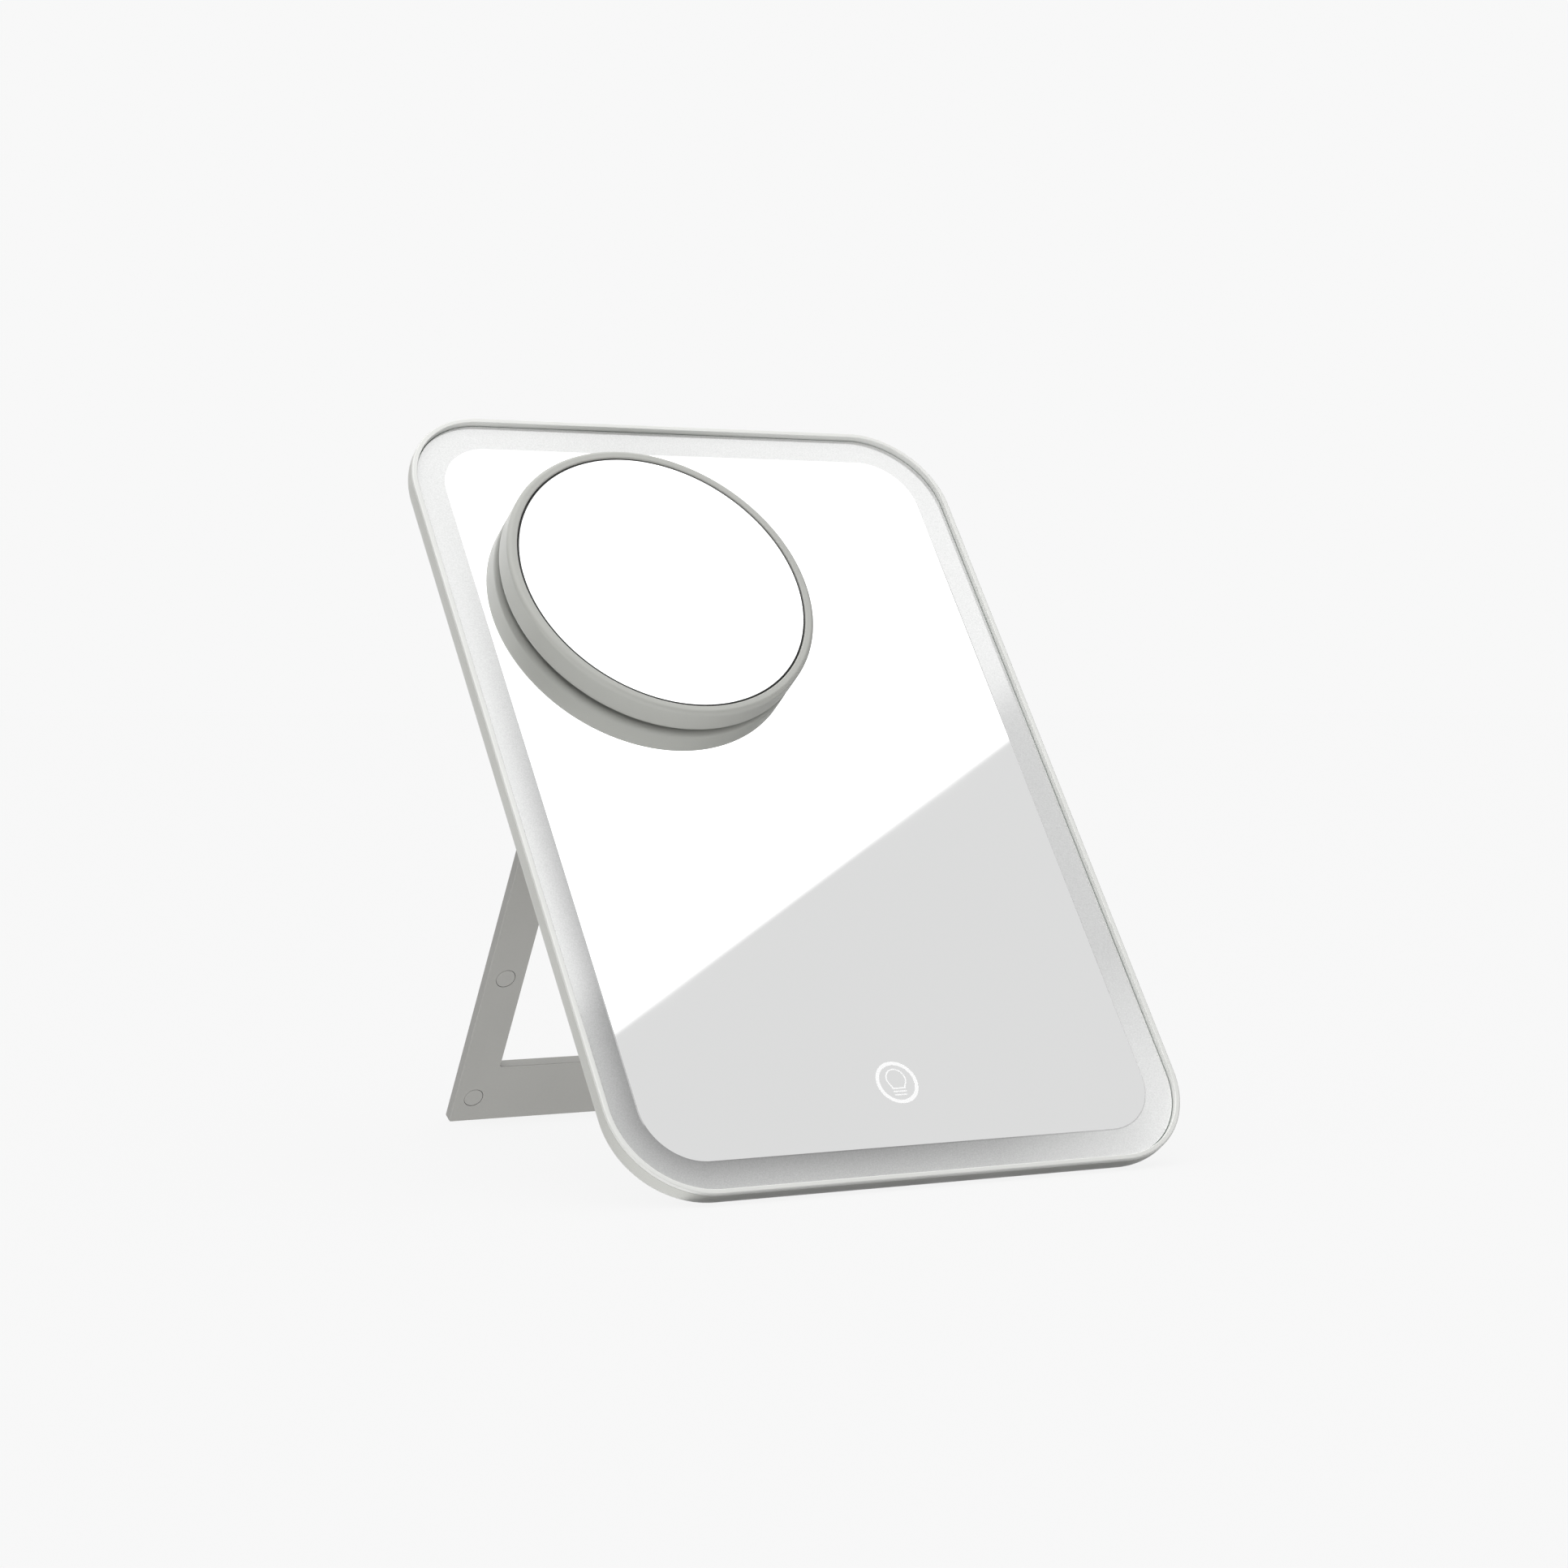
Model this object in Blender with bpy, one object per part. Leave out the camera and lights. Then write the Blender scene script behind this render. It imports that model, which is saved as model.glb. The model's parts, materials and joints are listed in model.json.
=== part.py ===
"""Lighted table mirror: a tablet-shaped body on a folding loop stand, with a round magnifier held by magnets.

Everything is drawn flat in the mirror's own frame, x to the right, y up the glass and z out of the
glass, with y = 0 at the body's lower edge and z = 0 on the front of the glass. An empty leans that
frame back, and the finished object is then set on the ground with its footprint centred on the origin.
"""
import math

import bmesh
import bpy
from mathutils import Vector

MM = 0.001

# Mirror body
LEAN = math.radians(35.8)
BODY_WIDTH = 197 * MM
BODY_HEIGHT = 281 * MM
BODY_CORNER = 29.3 * MM
LIP_HEIGHT = 1.8 * MM
LIP_WIDTH = 1.75 * MM
LIP_ROUND = 0.5 * MM
SKIRT_WIDTH = 0.85 * MM
PARTING_Z = 0.9 * MM
PARTING_GAP = 0.3 * MM
FIT_GAP = 0.3 * MM
THIN_GAP = 0.15 * MM
EDGE_BREAK = 0.15 * MM
SIDE_FLAT = 0.8 * MM
BACK_ROUND = 9.5 * MM
BACK_Z = -(SIDE_FLAT + BACK_ROUND)
CORNER_SEGMENTS = 10
BACK_ROUND_SEGMENTS = 8

# Glass and the lighting behind it
GLASS_THICK = 2.8 * MM
GLASS_INSET = LIP_WIDTH + THIN_GAP
RING_OUTER_INSET = 4.7 * MM
RING_INNER_INSET = 20.0 * MM
LIGHT_GUIDE_THICK = 1.2 * MM
REFLECTOR_THICK = 0.4 * MM
STRIP_INSET = 3.2 * MM
STRIP_THICK = 0.4 * MM
STRIP_HEIGHT = 1.3 * MM
LED_DEPTH = 0.8 * MM
LED_WIDTH = 2.8 * MM
LED_PITCH = 11.0 * MM
HORIZONTAL_LEDS = 12
VERTICAL_LEDS = 19

# Rear housing: inner floor, deep bays and walls
SKIRT_BAY_INSET = 0.7 * MM
CAVITY_INSET = 2.9 * MM
CAVITY_STEP_Z = -3.0 * MM
FLOOR_Z = -4.9 * MM
DEEP_FLOOR_Z = -8.6 * MM
BAY_INSET = 7.0 * MM
BAY_CORNER = 2.0 * MM
WALL = 1.3 * MM
SIDE_BAY_WIDTH = 26.0 * MM
SIDE_BAY_LOW = 30.0 * MM
HINGE_BLOCK_HALF = 7.5 * MM

# Stand
STAND_WIDTH = 124.0 * MM
STAND_THICK = 3.6 * MM
STAND_LEG = 13.5 * MM
STAND_BAR = 22.1 * MM
STAND_TOP_BAR = 12.5 * MM
STAND_FOOT_CORNER = 0.9 * MM
STAND_WINDOW_CORNER = 0.8 * MM
STAND_EDGE = 0.4 * MM
STAND_OPEN = math.radians(67.2)
STAND_SIDE_GAP = 0.5 * MM
HINGE_HEIGHT = 185.0 * MM
HINGE_Z = BACK_Z + STAND_THICK / 2
RECESS_Z = HINGE_Z + STAND_THICK / 2 + FIT_GAP
PIN_RADIUS = 0.9 * MM
PIN_LENGTH = 10.0 * MM
PIN_CLEARANCE = 0.25 * MM
NOTCH_WIDTH = 24.0 * MM
NOTCH_DEPTH = 2.7 * MM
NOTCH_REACH = 3.6 * MM
NOTCH_CORNER = 3.0 * MM
SOCKET_RADIUS = 3.4 * MM
SOCKET_DEPTH = 2.8 * MM
CAP_RADIUS = 3.25 * MM
CAP_THICK = 0.9 * MM
STAND_MAGNET_RADIUS = 2.9 * MM
STAND_MAGNET_THICK = 1.7 * MM
SOCKETS_FROM_FOOT = {"lower": 9.7 * MM, "upper": 58.6 * MM}

# Electronics
PLATE_THICK = 0.8 * MM
MAGNET_PLATE_HALF = 40.0 * MM
TOUCH_HEIGHT = 32.4 * MM
TOUCH_BOARD_HALF = (12.0 * MM, 6.5 * MM)
KEEPER_HALF_WIDTH = 4.0 * MM
KEEPER_THICK = 0.5 * MM
KEEPER_Y = (20.5 * MM, 78.0 * MM)
BATTERY_SIZE = (60 * MM, 80 * MM, 3.0 * MM)
BATTERY_CENTRE_Y = 100 * MM
BATTERY_CORNER = 3.0 * MM
BATTERY_EDGE = 0.6 * MM
TAPE_MARGIN = 8.0 * MM
TAPE_THICK = 0.3 * MM
BOARD_SIZE = (21 * MM, 44 * MM)
BOARD_CENTRE = (79.5 * MM, 80 * MM)
BOARD_Z = (-6.7 * MM, -5.9 * MM)
PORT_Y = 80 * MM
PORT_Z = -6.7 * MM
PORT_SIZE = (9.4 * MM, 3.6 * MM)
PORT_CORNER = 1.2 * MM
PORT_CUT_LENGTH = 10.0 * MM
SOCKET_SIZE = (8.9 * MM, 3.2 * MM)
SOCKET_LENGTH = 7.3 * MM
SOCKET_WALL = 0.3 * MM
SOCKET_FLOOR = 1.2 * MM
SOCKET_MOUTH_X = 93.3 * MM
TONGUE_HALF = (0.35 * MM, 3.3 * MM)
TONGUE_REACH = 6.2 * MM
BOARD_SCREWS = ((72.5 * MM, 99.0 * MM), (86.5 * MM, 61.0 * MM))
BOSS_RADIUS = 2.2 * MM
SCREW_HOLE_RADIUS = 1.1 * MM
SCREW_RADIUS = 0.8 * MM
SCREW_HEAD_RADII = (1.7 * MM, 1.2 * MM)
SCREW_HEAD_HEIGHTS = (0.5 * MM, 0.75 * MM)
CHIP_THICK = 0.6 * MM
CHIP_CORNER = 0.3 * MM
CHIPS = {
    "charger_chip": ((75 * MM, 73 * MM), (4 * MM, 4 * MM)),
    "touch_chip": ((76 * MM, 87 * MM), (5 * MM, 4 * MM)),
    "inductor": ((84 * MM, 94 * MM), (5 * MM, 5 * MM)),
}

# Wires: material and route, each point in millimetres
WIRE_RADIUS = 0.45 * MM
WIRE_STEPS = 3
WIRES = {
    "touch_lead": ("wire_white", (
        (12.6, 32, -3.4), (22, 33, -3.6), (40, 36, -3.6), (58, 40, -3.6), (67, 46, -4.2), (70, 51, -5.4),
        (71, 57.3, -6.3))),
    "battery_lead_positive": ("wire_red", (
        (30.6, 92, -6.4), (36, 91.5, -6.0), (42, 90, -4.6), (48, 88.5, -3.9), (60, 86.5, -3.9),
        (64.6, 85.8, -4.0), (66.5, 85.3, -4.9), (67.2, 85.1, -5.8), (68.4, 85, -6.3))),
    "battery_lead_negative": ("wire_black", (
        (30.6, 88, -6.4), (36, 87.5, -6.0), (42, 86, -4.6), (48, 84.5, -3.9), (60, 82.5, -3.9),
        (64.6, 81.8, -4.0), (66.5, 81.3, -4.9), (67.2, 81.1, -5.8), (68.4, 81, -6.3))),
}

# Magnifier
MAGNIFIER_X = -27.3 * MM
MAGNIFIER_Y = 210.5 * MM
MAGNIFIER_RADIUS = 52.1 * MM
MAGNIFIER_BACK = 0.8 * MM
MAGNIFIER_FRONT = 10.5 * MM
MAGNIFIER_LIP = 3.2 * MM
MAGNIFIER_LIP_ROUND = 1.6 * MM
MAGNIFIER_BACK_ROUND = 1.5 * MM
MAGNIFIER_COVER_STEP = 0.5 * MM
MAGNIFIER_GLASS_RADIUS = 48.6 * MM
MAGNIFIER_GLASS_RECESS = 0.35 * MM
MAGNIFIER_GLASS_THICK = 2.2 * MM
MAGNIFIER_CURVE_RADIUS = 600.0 * MM
MAGNIFIER_GLASS_RINGS = 4
MAGNIFIER_FLOOR = (2.2 * MM, 5.0 * MM)
MAGNIFIER_INNER_EDGE = 0.4 * MM
MAGNIFIER_FOAM_RADIUS = 38.0 * MM
MAGNIFIER_PAD_RADII = (16.0 * MM, 45.0 * MM)
MAGNIFIER_COVER_LOW = 1.0 * MM
MAGNIFIER_SEGMENTS = 72
HIDDEN_SEGMENTS = 40
MAGNET_CIRCLE = 30.0 * MM
MAGNET_RADIUS = 7.0 * MM
MAGNET_THICK = 1.7 * MM
MAGNET_COUNT = 4

SMALL_SEGMENTS = 20

MATERIALS = {
    "body_plastic": ((0.60, 0.61, 0.57), 0.45, 0.0),
    "stand_plastic": ((0.46, 0.46, 0.43), 0.50, 0.0),
    "mirror_glass": ((0.90, 0.91, 0.91), 0.03, 1.0),
    "clear_acrylic": ((0.92, 0.94, 0.95), 0.20, 0.0),
    "white_sheet": ((0.90, 0.90, 0.89), 0.60, 0.0),
    "flex_circuit": ((0.85, 0.83, 0.72), 0.50, 0.0),
    "steel": ((0.62, 0.62, 0.62), 0.30, 1.0),
    "magnet_nickel": ((0.70, 0.70, 0.68), 0.22, 1.0),
    "battery_foil": ((0.55, 0.56, 0.58), 0.35, 0.8),
    "foam": ((0.10, 0.10, 0.10), 0.95, 0.0),
    "circuit_board": ((0.04, 0.22, 0.12), 0.45, 0.0),
    "silicone": ((0.16, 0.16, 0.16), 0.70, 0.0),
    "wire_black": ((0.03, 0.03, 0.03), 0.50, 0.0),
    "wire_red": ((0.55, 0.04, 0.03), 0.50, 0.0),
    "wire_white": ((0.80, 0.80, 0.78), 0.50, 0.0),
}


def clear_scene():
    for existing in list(bpy.data.objects):
        bpy.data.objects.remove(existing, do_unlink=True)


def material(name):
    """Return the named material, made on first use from the table above."""
    found = bpy.data.materials.get(name)
    if found:
        return found
    colour, roughness, metallic = MATERIALS[name]
    made = bpy.data.materials.new(name)
    made.use_nodes = True
    shader = made.node_tree.nodes["Principled BSDF"]
    shader.inputs["Base Color"].default_value = (*colour, 1.0)
    shader.inputs["Roughness"].default_value = roughness
    shader.inputs["Metallic"].default_value = metallic
    return made


def empty(name, parent=None, location=(0, 0, 0), tilt=0.0):
    made = bpy.data.objects.new(name, None)
    bpy.context.collection.objects.link(made)
    made.parent = parent
    made.location = location
    made.rotation_euler = (tilt, 0, 0)
    return made


# Outlines: lists of (x, y) points, counter-clockwise


def rounded_rectangle(x_range, y_range, radius, inset=0.0, segments=CORNER_SEGMENTS):
    """Outline of a rectangle with round corners, drawn inset from its nominal edge."""
    radius = max(radius - inset, EDGE_BREAK)
    left, right = x_range[0] + inset + radius, x_range[1] - inset - radius
    low, high = y_range[0] + inset + radius, y_range[1] - inset - radius
    corners = ((right, low, -90), (right, high, 0), (left, high, 90), (left, low, 180))
    outline = []
    for centre_x, centre_y, start in corners:
        for step in range(segments + 1):
            angle = math.radians(start + 90 * step / segments)
            outline.append((centre_x + radius * math.cos(angle), centre_y + radius * math.sin(angle)))
    return outline


def body_outline(inset):
    return rounded_rectangle((-BODY_WIDTH / 2, BODY_WIDTH / 2), (0, BODY_HEIGHT), BODY_CORNER, inset)


def circle(radius, segments=SMALL_SEGMENTS):
    angles = (2 * math.pi * step / segments for step in range(segments))
    return [(radius * math.cos(angle), radius * math.sin(angle)) for angle in angles]


def arc(centre, radius, start, end, segments):
    """Points on an arc of a section, angles in degrees."""
    points = []
    for step in range(segments + 1):
        angle = math.radians(start + (end - start) * step / segments)
        points.append((centre[0] + radius * math.cos(angle), centre[1] + radius * math.sin(angle)))
    return points


# Solids


def skin(name, loops, material_name, parent, location=(0, 0, 0), ring=False):
    """Join loops of equal length into one closed solid: a ring, or a body capped at both ends."""
    mesh = bpy.data.meshes.new(name)
    bm = bmesh.new()
    rows = [[bm.verts.new(point) for point in loop] for loop in loops]
    pairs = list(zip(rows, rows[1:]))
    if ring:
        pairs.append((rows[-1], rows[0]))
    else:
        bm.faces.new(rows[0])
        bm.faces.new(rows[-1])
    count = len(rows[0])
    for row, next_row in pairs:
        for index in range(count):
            after = (index + 1) % count
            bm.faces.new((row[index], row[after], next_row[after], next_row[index]))
    bmesh.ops.recalc_face_normals(bm, faces=bm.faces)
    bm.to_mesh(mesh)
    bm.free()
    mesh.shade_smooth()
    mesh.set_sharp_from_angle(angle=math.radians(32))
    mesh.materials.append(material(material_name))
    made = bpy.data.objects.new(name, mesh)
    bpy.context.collection.objects.link(made)
    made.parent = parent
    made.location = location
    return made


def at_height(outline, z):
    return [(x, y, z) for x, y in outline]


def prism(name, outline, z_range, material_name, parent, location=(0, 0, 0)):
    loops = [at_height(outline, z) for z in z_range]
    return skin(name, loops, material_name, parent, location)


def block(name, x_range, y_range, z_range, material_name, parent, corner=0.6 * MM):
    outline = rounded_rectangle(x_range, y_range, corner, segments=2)
    return prism(name, outline, z_range, material_name, parent)


def body_section(name, section, material_name, parent, ring=False):
    """Sweep a section, given as (inset, z) points, round the body's outline."""
    loops = [at_height(body_outline(inset), z) for inset, z in section]
    return skin(name, loops, material_name, parent, ring=ring)


def turned(name, section, material_name, parent, segments=MAGNIFIER_SEGMENTS, ring=False):
    """Turn a section, given as (radius, z) points, about the z axis."""
    loops = [at_height(circle(radius, segments), z) for radius, z in section]
    return skin(name, loops, material_name, parent, ring=ring)


def disc(name, radius, z_range, material_name, parent, location):
    """A flat round piece with broken edges."""
    low, high = z_range
    section = ((radius - EDGE_BREAK, low), (radius, low + EDGE_BREAK),
               (radius, high - EDGE_BREAK), (radius - EDGE_BREAK, high))
    loops = [at_height(circle(ring_radius), z) for ring_radius, z in section]
    return skin(name, loops, material_name, parent, location)


def boolean(target, tool, operation="DIFFERENCE"):
    """Cut or join a tool body into the target, and keep the tool as a wire guide."""
    modifier = target.modifiers.new(tool.name, "BOOLEAN")
    modifier.object = tool
    modifier.operation = operation
    modifier.solver = "EXACT"
    tool.hide_render = True
    tool.display_type = "WIRE"


def wire(name, route, material_name, parent):
    """A round insulated wire through the given points, on a Catmull-Rom curve."""
    route = [Vector(point) * MM for point in route]
    padded = [route[0] * 2 - route[1]] + route + [route[-1] * 2 - route[-2]]
    smooth = []
    for before, start, end, after in zip(padded, padded[1:], padded[2:], padded[3:]):
        for step in range(WIRE_STEPS):
            t = step / WIRE_STEPS
            bend = (start * 2 + (end - before) * t + (before * 2 - start * 5 + end * 4 - after) * t ** 2
                    + (start * 3 - before - end * 3 + after) * t ** 3)
            smooth.append(bend / 2)
    smooth.append(route[-1])
    curve = bpy.data.curves.new(name, "CURVE")
    curve.dimensions = "3D"
    curve.bevel_depth = WIRE_RADIUS
    curve.bevel_resolution = 1
    curve.use_fill_caps = True
    spline = curve.splines.new("POLY")
    spline.points.add(len(smooth) - 1)
    for point, place in zip(spline.points, smooth):
        point.co = (*place, 1.0)
    curve.materials.append(material(material_name))
    made = bpy.data.objects.new(name, curve)
    bpy.context.collection.objects.link(made)
    made.parent = parent
    return made


# Mirror body: shell, frame and glass


def back_round_section():
    """Outer section of the rear housing, from the flat side round to the back face."""
    centre = (BACK_ROUND, -SIDE_FLAT)
    return arc(centre, BACK_ROUND, 180, 270, BACK_ROUND_SEGMENTS)


def stand_length():
    """Leg length that puts the foot's lowest corner on the same ground as the body's lower edge."""
    up_y, up_z = math.cos(LEAN), math.sin(LEAN)
    ground = min(inset * up_y + z * up_z for inset, z in back_round_section())
    hinge = HINGE_HEIGHT * up_y + HINGE_Z * up_z
    along = math.cos(STAND_OPEN) * up_y + math.sin(STAND_OPEN) * up_z
    across = math.sin(STAND_OPEN) * up_y - math.cos(STAND_OPEN) * up_z
    foot_corner = STAND_THICK / 2 - STAND_EDGE
    return (hinge - across * foot_corner - ground) / along


def heel_reach():
    """How far the stand's heel passes the hinge: it meets the recess floor when the stand is open."""
    floor = RECESS_Z - HINGE_Z - FIT_GAP
    half = STAND_THICK / 2
    return (floor + half * math.cos(STAND_OPEN)) / math.sin(STAND_OPEN)


def recess_outlines():
    """Outer wall and inner island of the channel that takes the folded stand."""
    heel_sweep = math.hypot(heel_reach(), STAND_THICK / 2)
    outer_x = STAND_WIDTH / 2 + STAND_SIDE_GAP
    outer_y = (HINGE_HEIGHT - stand_length() - STAND_SIDE_GAP, HINGE_HEIGHT + heel_sweep + FIT_GAP)
    inner_x = STAND_WIDTH / 2 - STAND_LEG - STAND_SIDE_GAP
    inner_y = (HINGE_HEIGHT - stand_length() + STAND_BAR + STAND_SIDE_GAP,
               HINGE_HEIGHT - STAND_TOP_BAR - STAND_SIDE_GAP)
    outer = rounded_rectangle((-outer_x, outer_x), outer_y, STAND_FOOT_CORNER, segments=4)
    inner = rounded_rectangle((-inner_x, inner_x), inner_y, STAND_WINDOW_CORNER, segments=4)
    return outer, inner, outer_y, inner_y


def make_rear_housing(parent):
    top = PARTING_Z - PARTING_GAP
    section = [(EDGE_BREAK, top), (0, top - EDGE_BREAK)] + back_round_section()
    housing = body_section("rear_housing", section, "body_plastic", parent)

    above = LIP_HEIGHT
    cavity = ((SKIRT_BAY_INSET, above), (SKIRT_BAY_INSET, CAVITY_STEP_Z),
              (CAVITY_INSET, CAVITY_STEP_Z), (CAVITY_INSET, FLOOR_Z))
    boolean(housing, body_section("cut_cavity", cavity, "body_plastic", parent))

    outer, inner, outer_y, inner_y = recess_outlines()
    below = BACK_Z - LIP_HEIGHT
    channel = [at_height(outer, below), at_height(outer, RECESS_Z),
               at_height(inner, RECESS_Z), at_height(inner, below)]
    boolean(housing, skin("cut_stand_recess", channel, "body_plastic", parent, ring=True))

    notch_y = (outer_y[0] - NOTCH_REACH, outer_y[0] + STAND_BAR / 2)
    notch_outline = rounded_rectangle((-NOTCH_WIDTH / 2, NOTCH_WIDTH / 2), notch_y, NOTCH_CORNER, segments=4)
    notch_z = (below, BACK_Z + NOTCH_DEPTH)
    boolean(housing, prism("cut_finger_notch", notch_outline, notch_z, "body_plastic", parent))

    deep_z = (DEEP_FLOOR_Z, FLOOR_Z + WALL)
    side_outer = BODY_WIDTH / 2 - BAY_INSET
    island_x = STAND_WIDTH / 2 - STAND_LEG - STAND_SIDE_GAP - WALL
    side_high = HINGE_HEIGHT - HINGE_BLOCK_HALF
    bays = {
        "island": ((-island_x, island_x), (inner_y[0] + WALL, inner_y[1] - WALL), BAY_CORNER),
        "right": ((side_outer - SIDE_BAY_WIDTH, side_outer), (SIDE_BAY_LOW, side_high), BAY_CORNER),
        "left": ((-side_outer, SIDE_BAY_WIDTH - side_outer), (SIDE_BAY_LOW, side_high), BAY_CORNER),
        "top": ((-side_outer, side_outer), (HINGE_HEIGHT + HINGE_BLOCK_HALF, BODY_HEIGHT - BAY_INSET),
                BODY_CORNER - BAY_INSET),
    }
    for bay, (x_range, y_range, corner) in bays.items():
        outline = rounded_rectangle(x_range, y_range, corner, segments=4)
        boolean(housing, prism("cut_bay_" + bay, outline, deep_z, "body_plastic", parent))

    bore_radius = PIN_RADIUS + PIN_CLEARANCE
    for side, sign in (("left", -1), ("right", 1)):
        bore_x = sign * STAND_WIDTH / 2
        bore = prism("cut_pin_bore_" + side, circle(bore_radius), (-PIN_LENGTH * 0.55, PIN_LENGTH * 0.55),
                     "body_plastic", parent, (bore_x, HINGE_HEIGHT, HINGE_Z))
        bore.rotation_euler = (0, math.pi / 2, 0)
        boolean(housing, bore)

    port = rounded_rectangle((-PORT_SIZE[1] / 2, PORT_SIZE[1] / 2), (-PORT_SIZE[0] / 2, PORT_SIZE[0] / 2),
                             PORT_CORNER, segments=4)
    port_cut = prism("cut_charging_port", port, (0, PORT_CUT_LENGTH), "body_plastic", parent,
                     (side_outer - 1 * MM, PORT_Y, PORT_Z))
    port_cut.rotation_euler = (0, math.pi / 2, 0)
    boolean(housing, port_cut)

    boss_z = (DEEP_FLOOR_Z - 0.2 * MM, BOARD_Z[0] - THIN_GAP)
    pilot_z = (DEEP_FLOOR_Z - 0.4 * MM, FLOOR_Z)
    for index, (x, y) in enumerate(BOARD_SCREWS, start=1):
        place = (x, y, 0)
        boss = prism(f"join_boss_{index}", circle(BOSS_RADIUS), boss_z, "body_plastic", parent, place)
        boolean(housing, boss, "UNION")
        pilot = prism(f"cut_pilot_{index}", circle(SCREW_HOLE_RADIUS), pilot_z, "body_plastic", parent, place)
        boolean(housing, pilot)


def make_front_frame(parent):
    skirt_outer = LIP_WIDTH - SKIRT_WIDTH
    outer_round = arc((LIP_ROUND, LIP_HEIGHT - LIP_ROUND), LIP_ROUND, 180, 90, 4)
    section = [(EDGE_BREAK, PARTING_Z), (0, PARTING_Z + EDGE_BREAK)] + outer_round
    section += [(LIP_WIDTH - 2 * EDGE_BREAK, LIP_HEIGHT), (LIP_WIDTH, LIP_HEIGHT - EDGE_BREAK),
                (LIP_WIDTH, -GLASS_THICK), (skirt_outer, -GLASS_THICK), (skirt_outer, PARTING_Z)]
    body_section("front_frame", section, "body_plastic", parent, ring=True)


def make_mirror_glass(parent):
    section = ((GLASS_INSET + EDGE_BREAK, 0), (GLASS_INSET, -EDGE_BREAK),
               (GLASS_INSET, EDGE_BREAK - GLASS_THICK), (GLASS_INSET + EDGE_BREAK, -GLASS_THICK))
    body_section("mirror_glass", section, "mirror_glass", parent)


# Lighting


def flat_ring(name, z_range, material_name, parent):
    low, high = z_range
    section = ((RING_OUTER_INSET, low), (RING_OUTER_INSET, high),
               (RING_INNER_INSET, high), (RING_INNER_INSET, low))
    body_section(name, section, material_name, parent, ring=True)


def led_strip_outline(count):
    """A flexible strip seen edge on, with its LEDs standing off one face."""
    length = count * LED_PITCH
    outline = [(-length / 2, 0), (length / 2, 0), (length / 2, STRIP_THICK)]
    for index in reversed(range(count)):
        centre = (index + 0.5) * LED_PITCH - length / 2
        right, left = centre + LED_WIDTH / 2, centre - LED_WIDTH / 2
        outline += [(right, STRIP_THICK), (right, STRIP_THICK + LED_DEPTH),
                    (left, STRIP_THICK + LED_DEPTH), (left, STRIP_THICK)]
    outline.append((-length / 2, STRIP_THICK))
    return outline


def make_lighting(parent):
    guide_top = -GLASS_THICK - THIN_GAP
    guide_low = guide_top - LIGHT_GUIDE_THICK
    flat_ring("light_guide_ring", (guide_low, guide_top), "clear_acrylic", parent)
    reflector_top = guide_low - THIN_GAP
    flat_ring("reflector_ring", (reflector_top - REFLECTOR_THICK, reflector_top), "white_sheet", parent)

    half_width = BODY_WIDTH / 2 - STRIP_INSET
    middle = BODY_HEIGHT / 2
    half_height = middle - STRIP_INSET
    places = {
        "bottom": ((0, middle - half_height), 0, HORIZONTAL_LEDS),
        "right": ((half_width, middle), 90, VERTICAL_LEDS),
        "top": ((0, middle + half_height), 180, HORIZONTAL_LEDS),
        "left": ((-half_width, middle), 270, VERTICAL_LEDS),
    }
    for side, ((x, y), turn, count) in places.items():
        strip = prism("led_strip_" + side, led_strip_outline(count), (guide_top - STRIP_HEIGHT, guide_top),
                      "flex_circuit", parent, (x, y, 0))
        strip.rotation_euler = (0, 0, math.radians(turn))


# Electronics


def make_battery(parent):
    width, height, thick = BATTERY_SIZE
    x_range = (-width / 2, width / 2)
    y_range = (BATTERY_CENTRE_Y - height / 2, BATTERY_CENTRE_Y + height / 2)
    tape_low = DEEP_FLOOR_Z + THIN_GAP
    tape_high = tape_low + TAPE_THICK
    block("battery_tape", (x_range[0] + TAPE_MARGIN, x_range[1] - TAPE_MARGIN),
          (y_range[0] + TAPE_MARGIN, y_range[1] - TAPE_MARGIN), (tape_low, tape_high), "foam", parent)
    low = tape_high + THIN_GAP
    high = low + thick
    sections = ((BATTERY_EDGE, low), (0, low + BATTERY_EDGE), (0, high - BATTERY_EDGE), (BATTERY_EDGE, high))
    loops = [at_height(rounded_rectangle(x_range, y_range, BATTERY_CORNER, inset, 4), z)
             for inset, z in sections]
    skin("battery_cell", loops, "battery_foil", parent)


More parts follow.
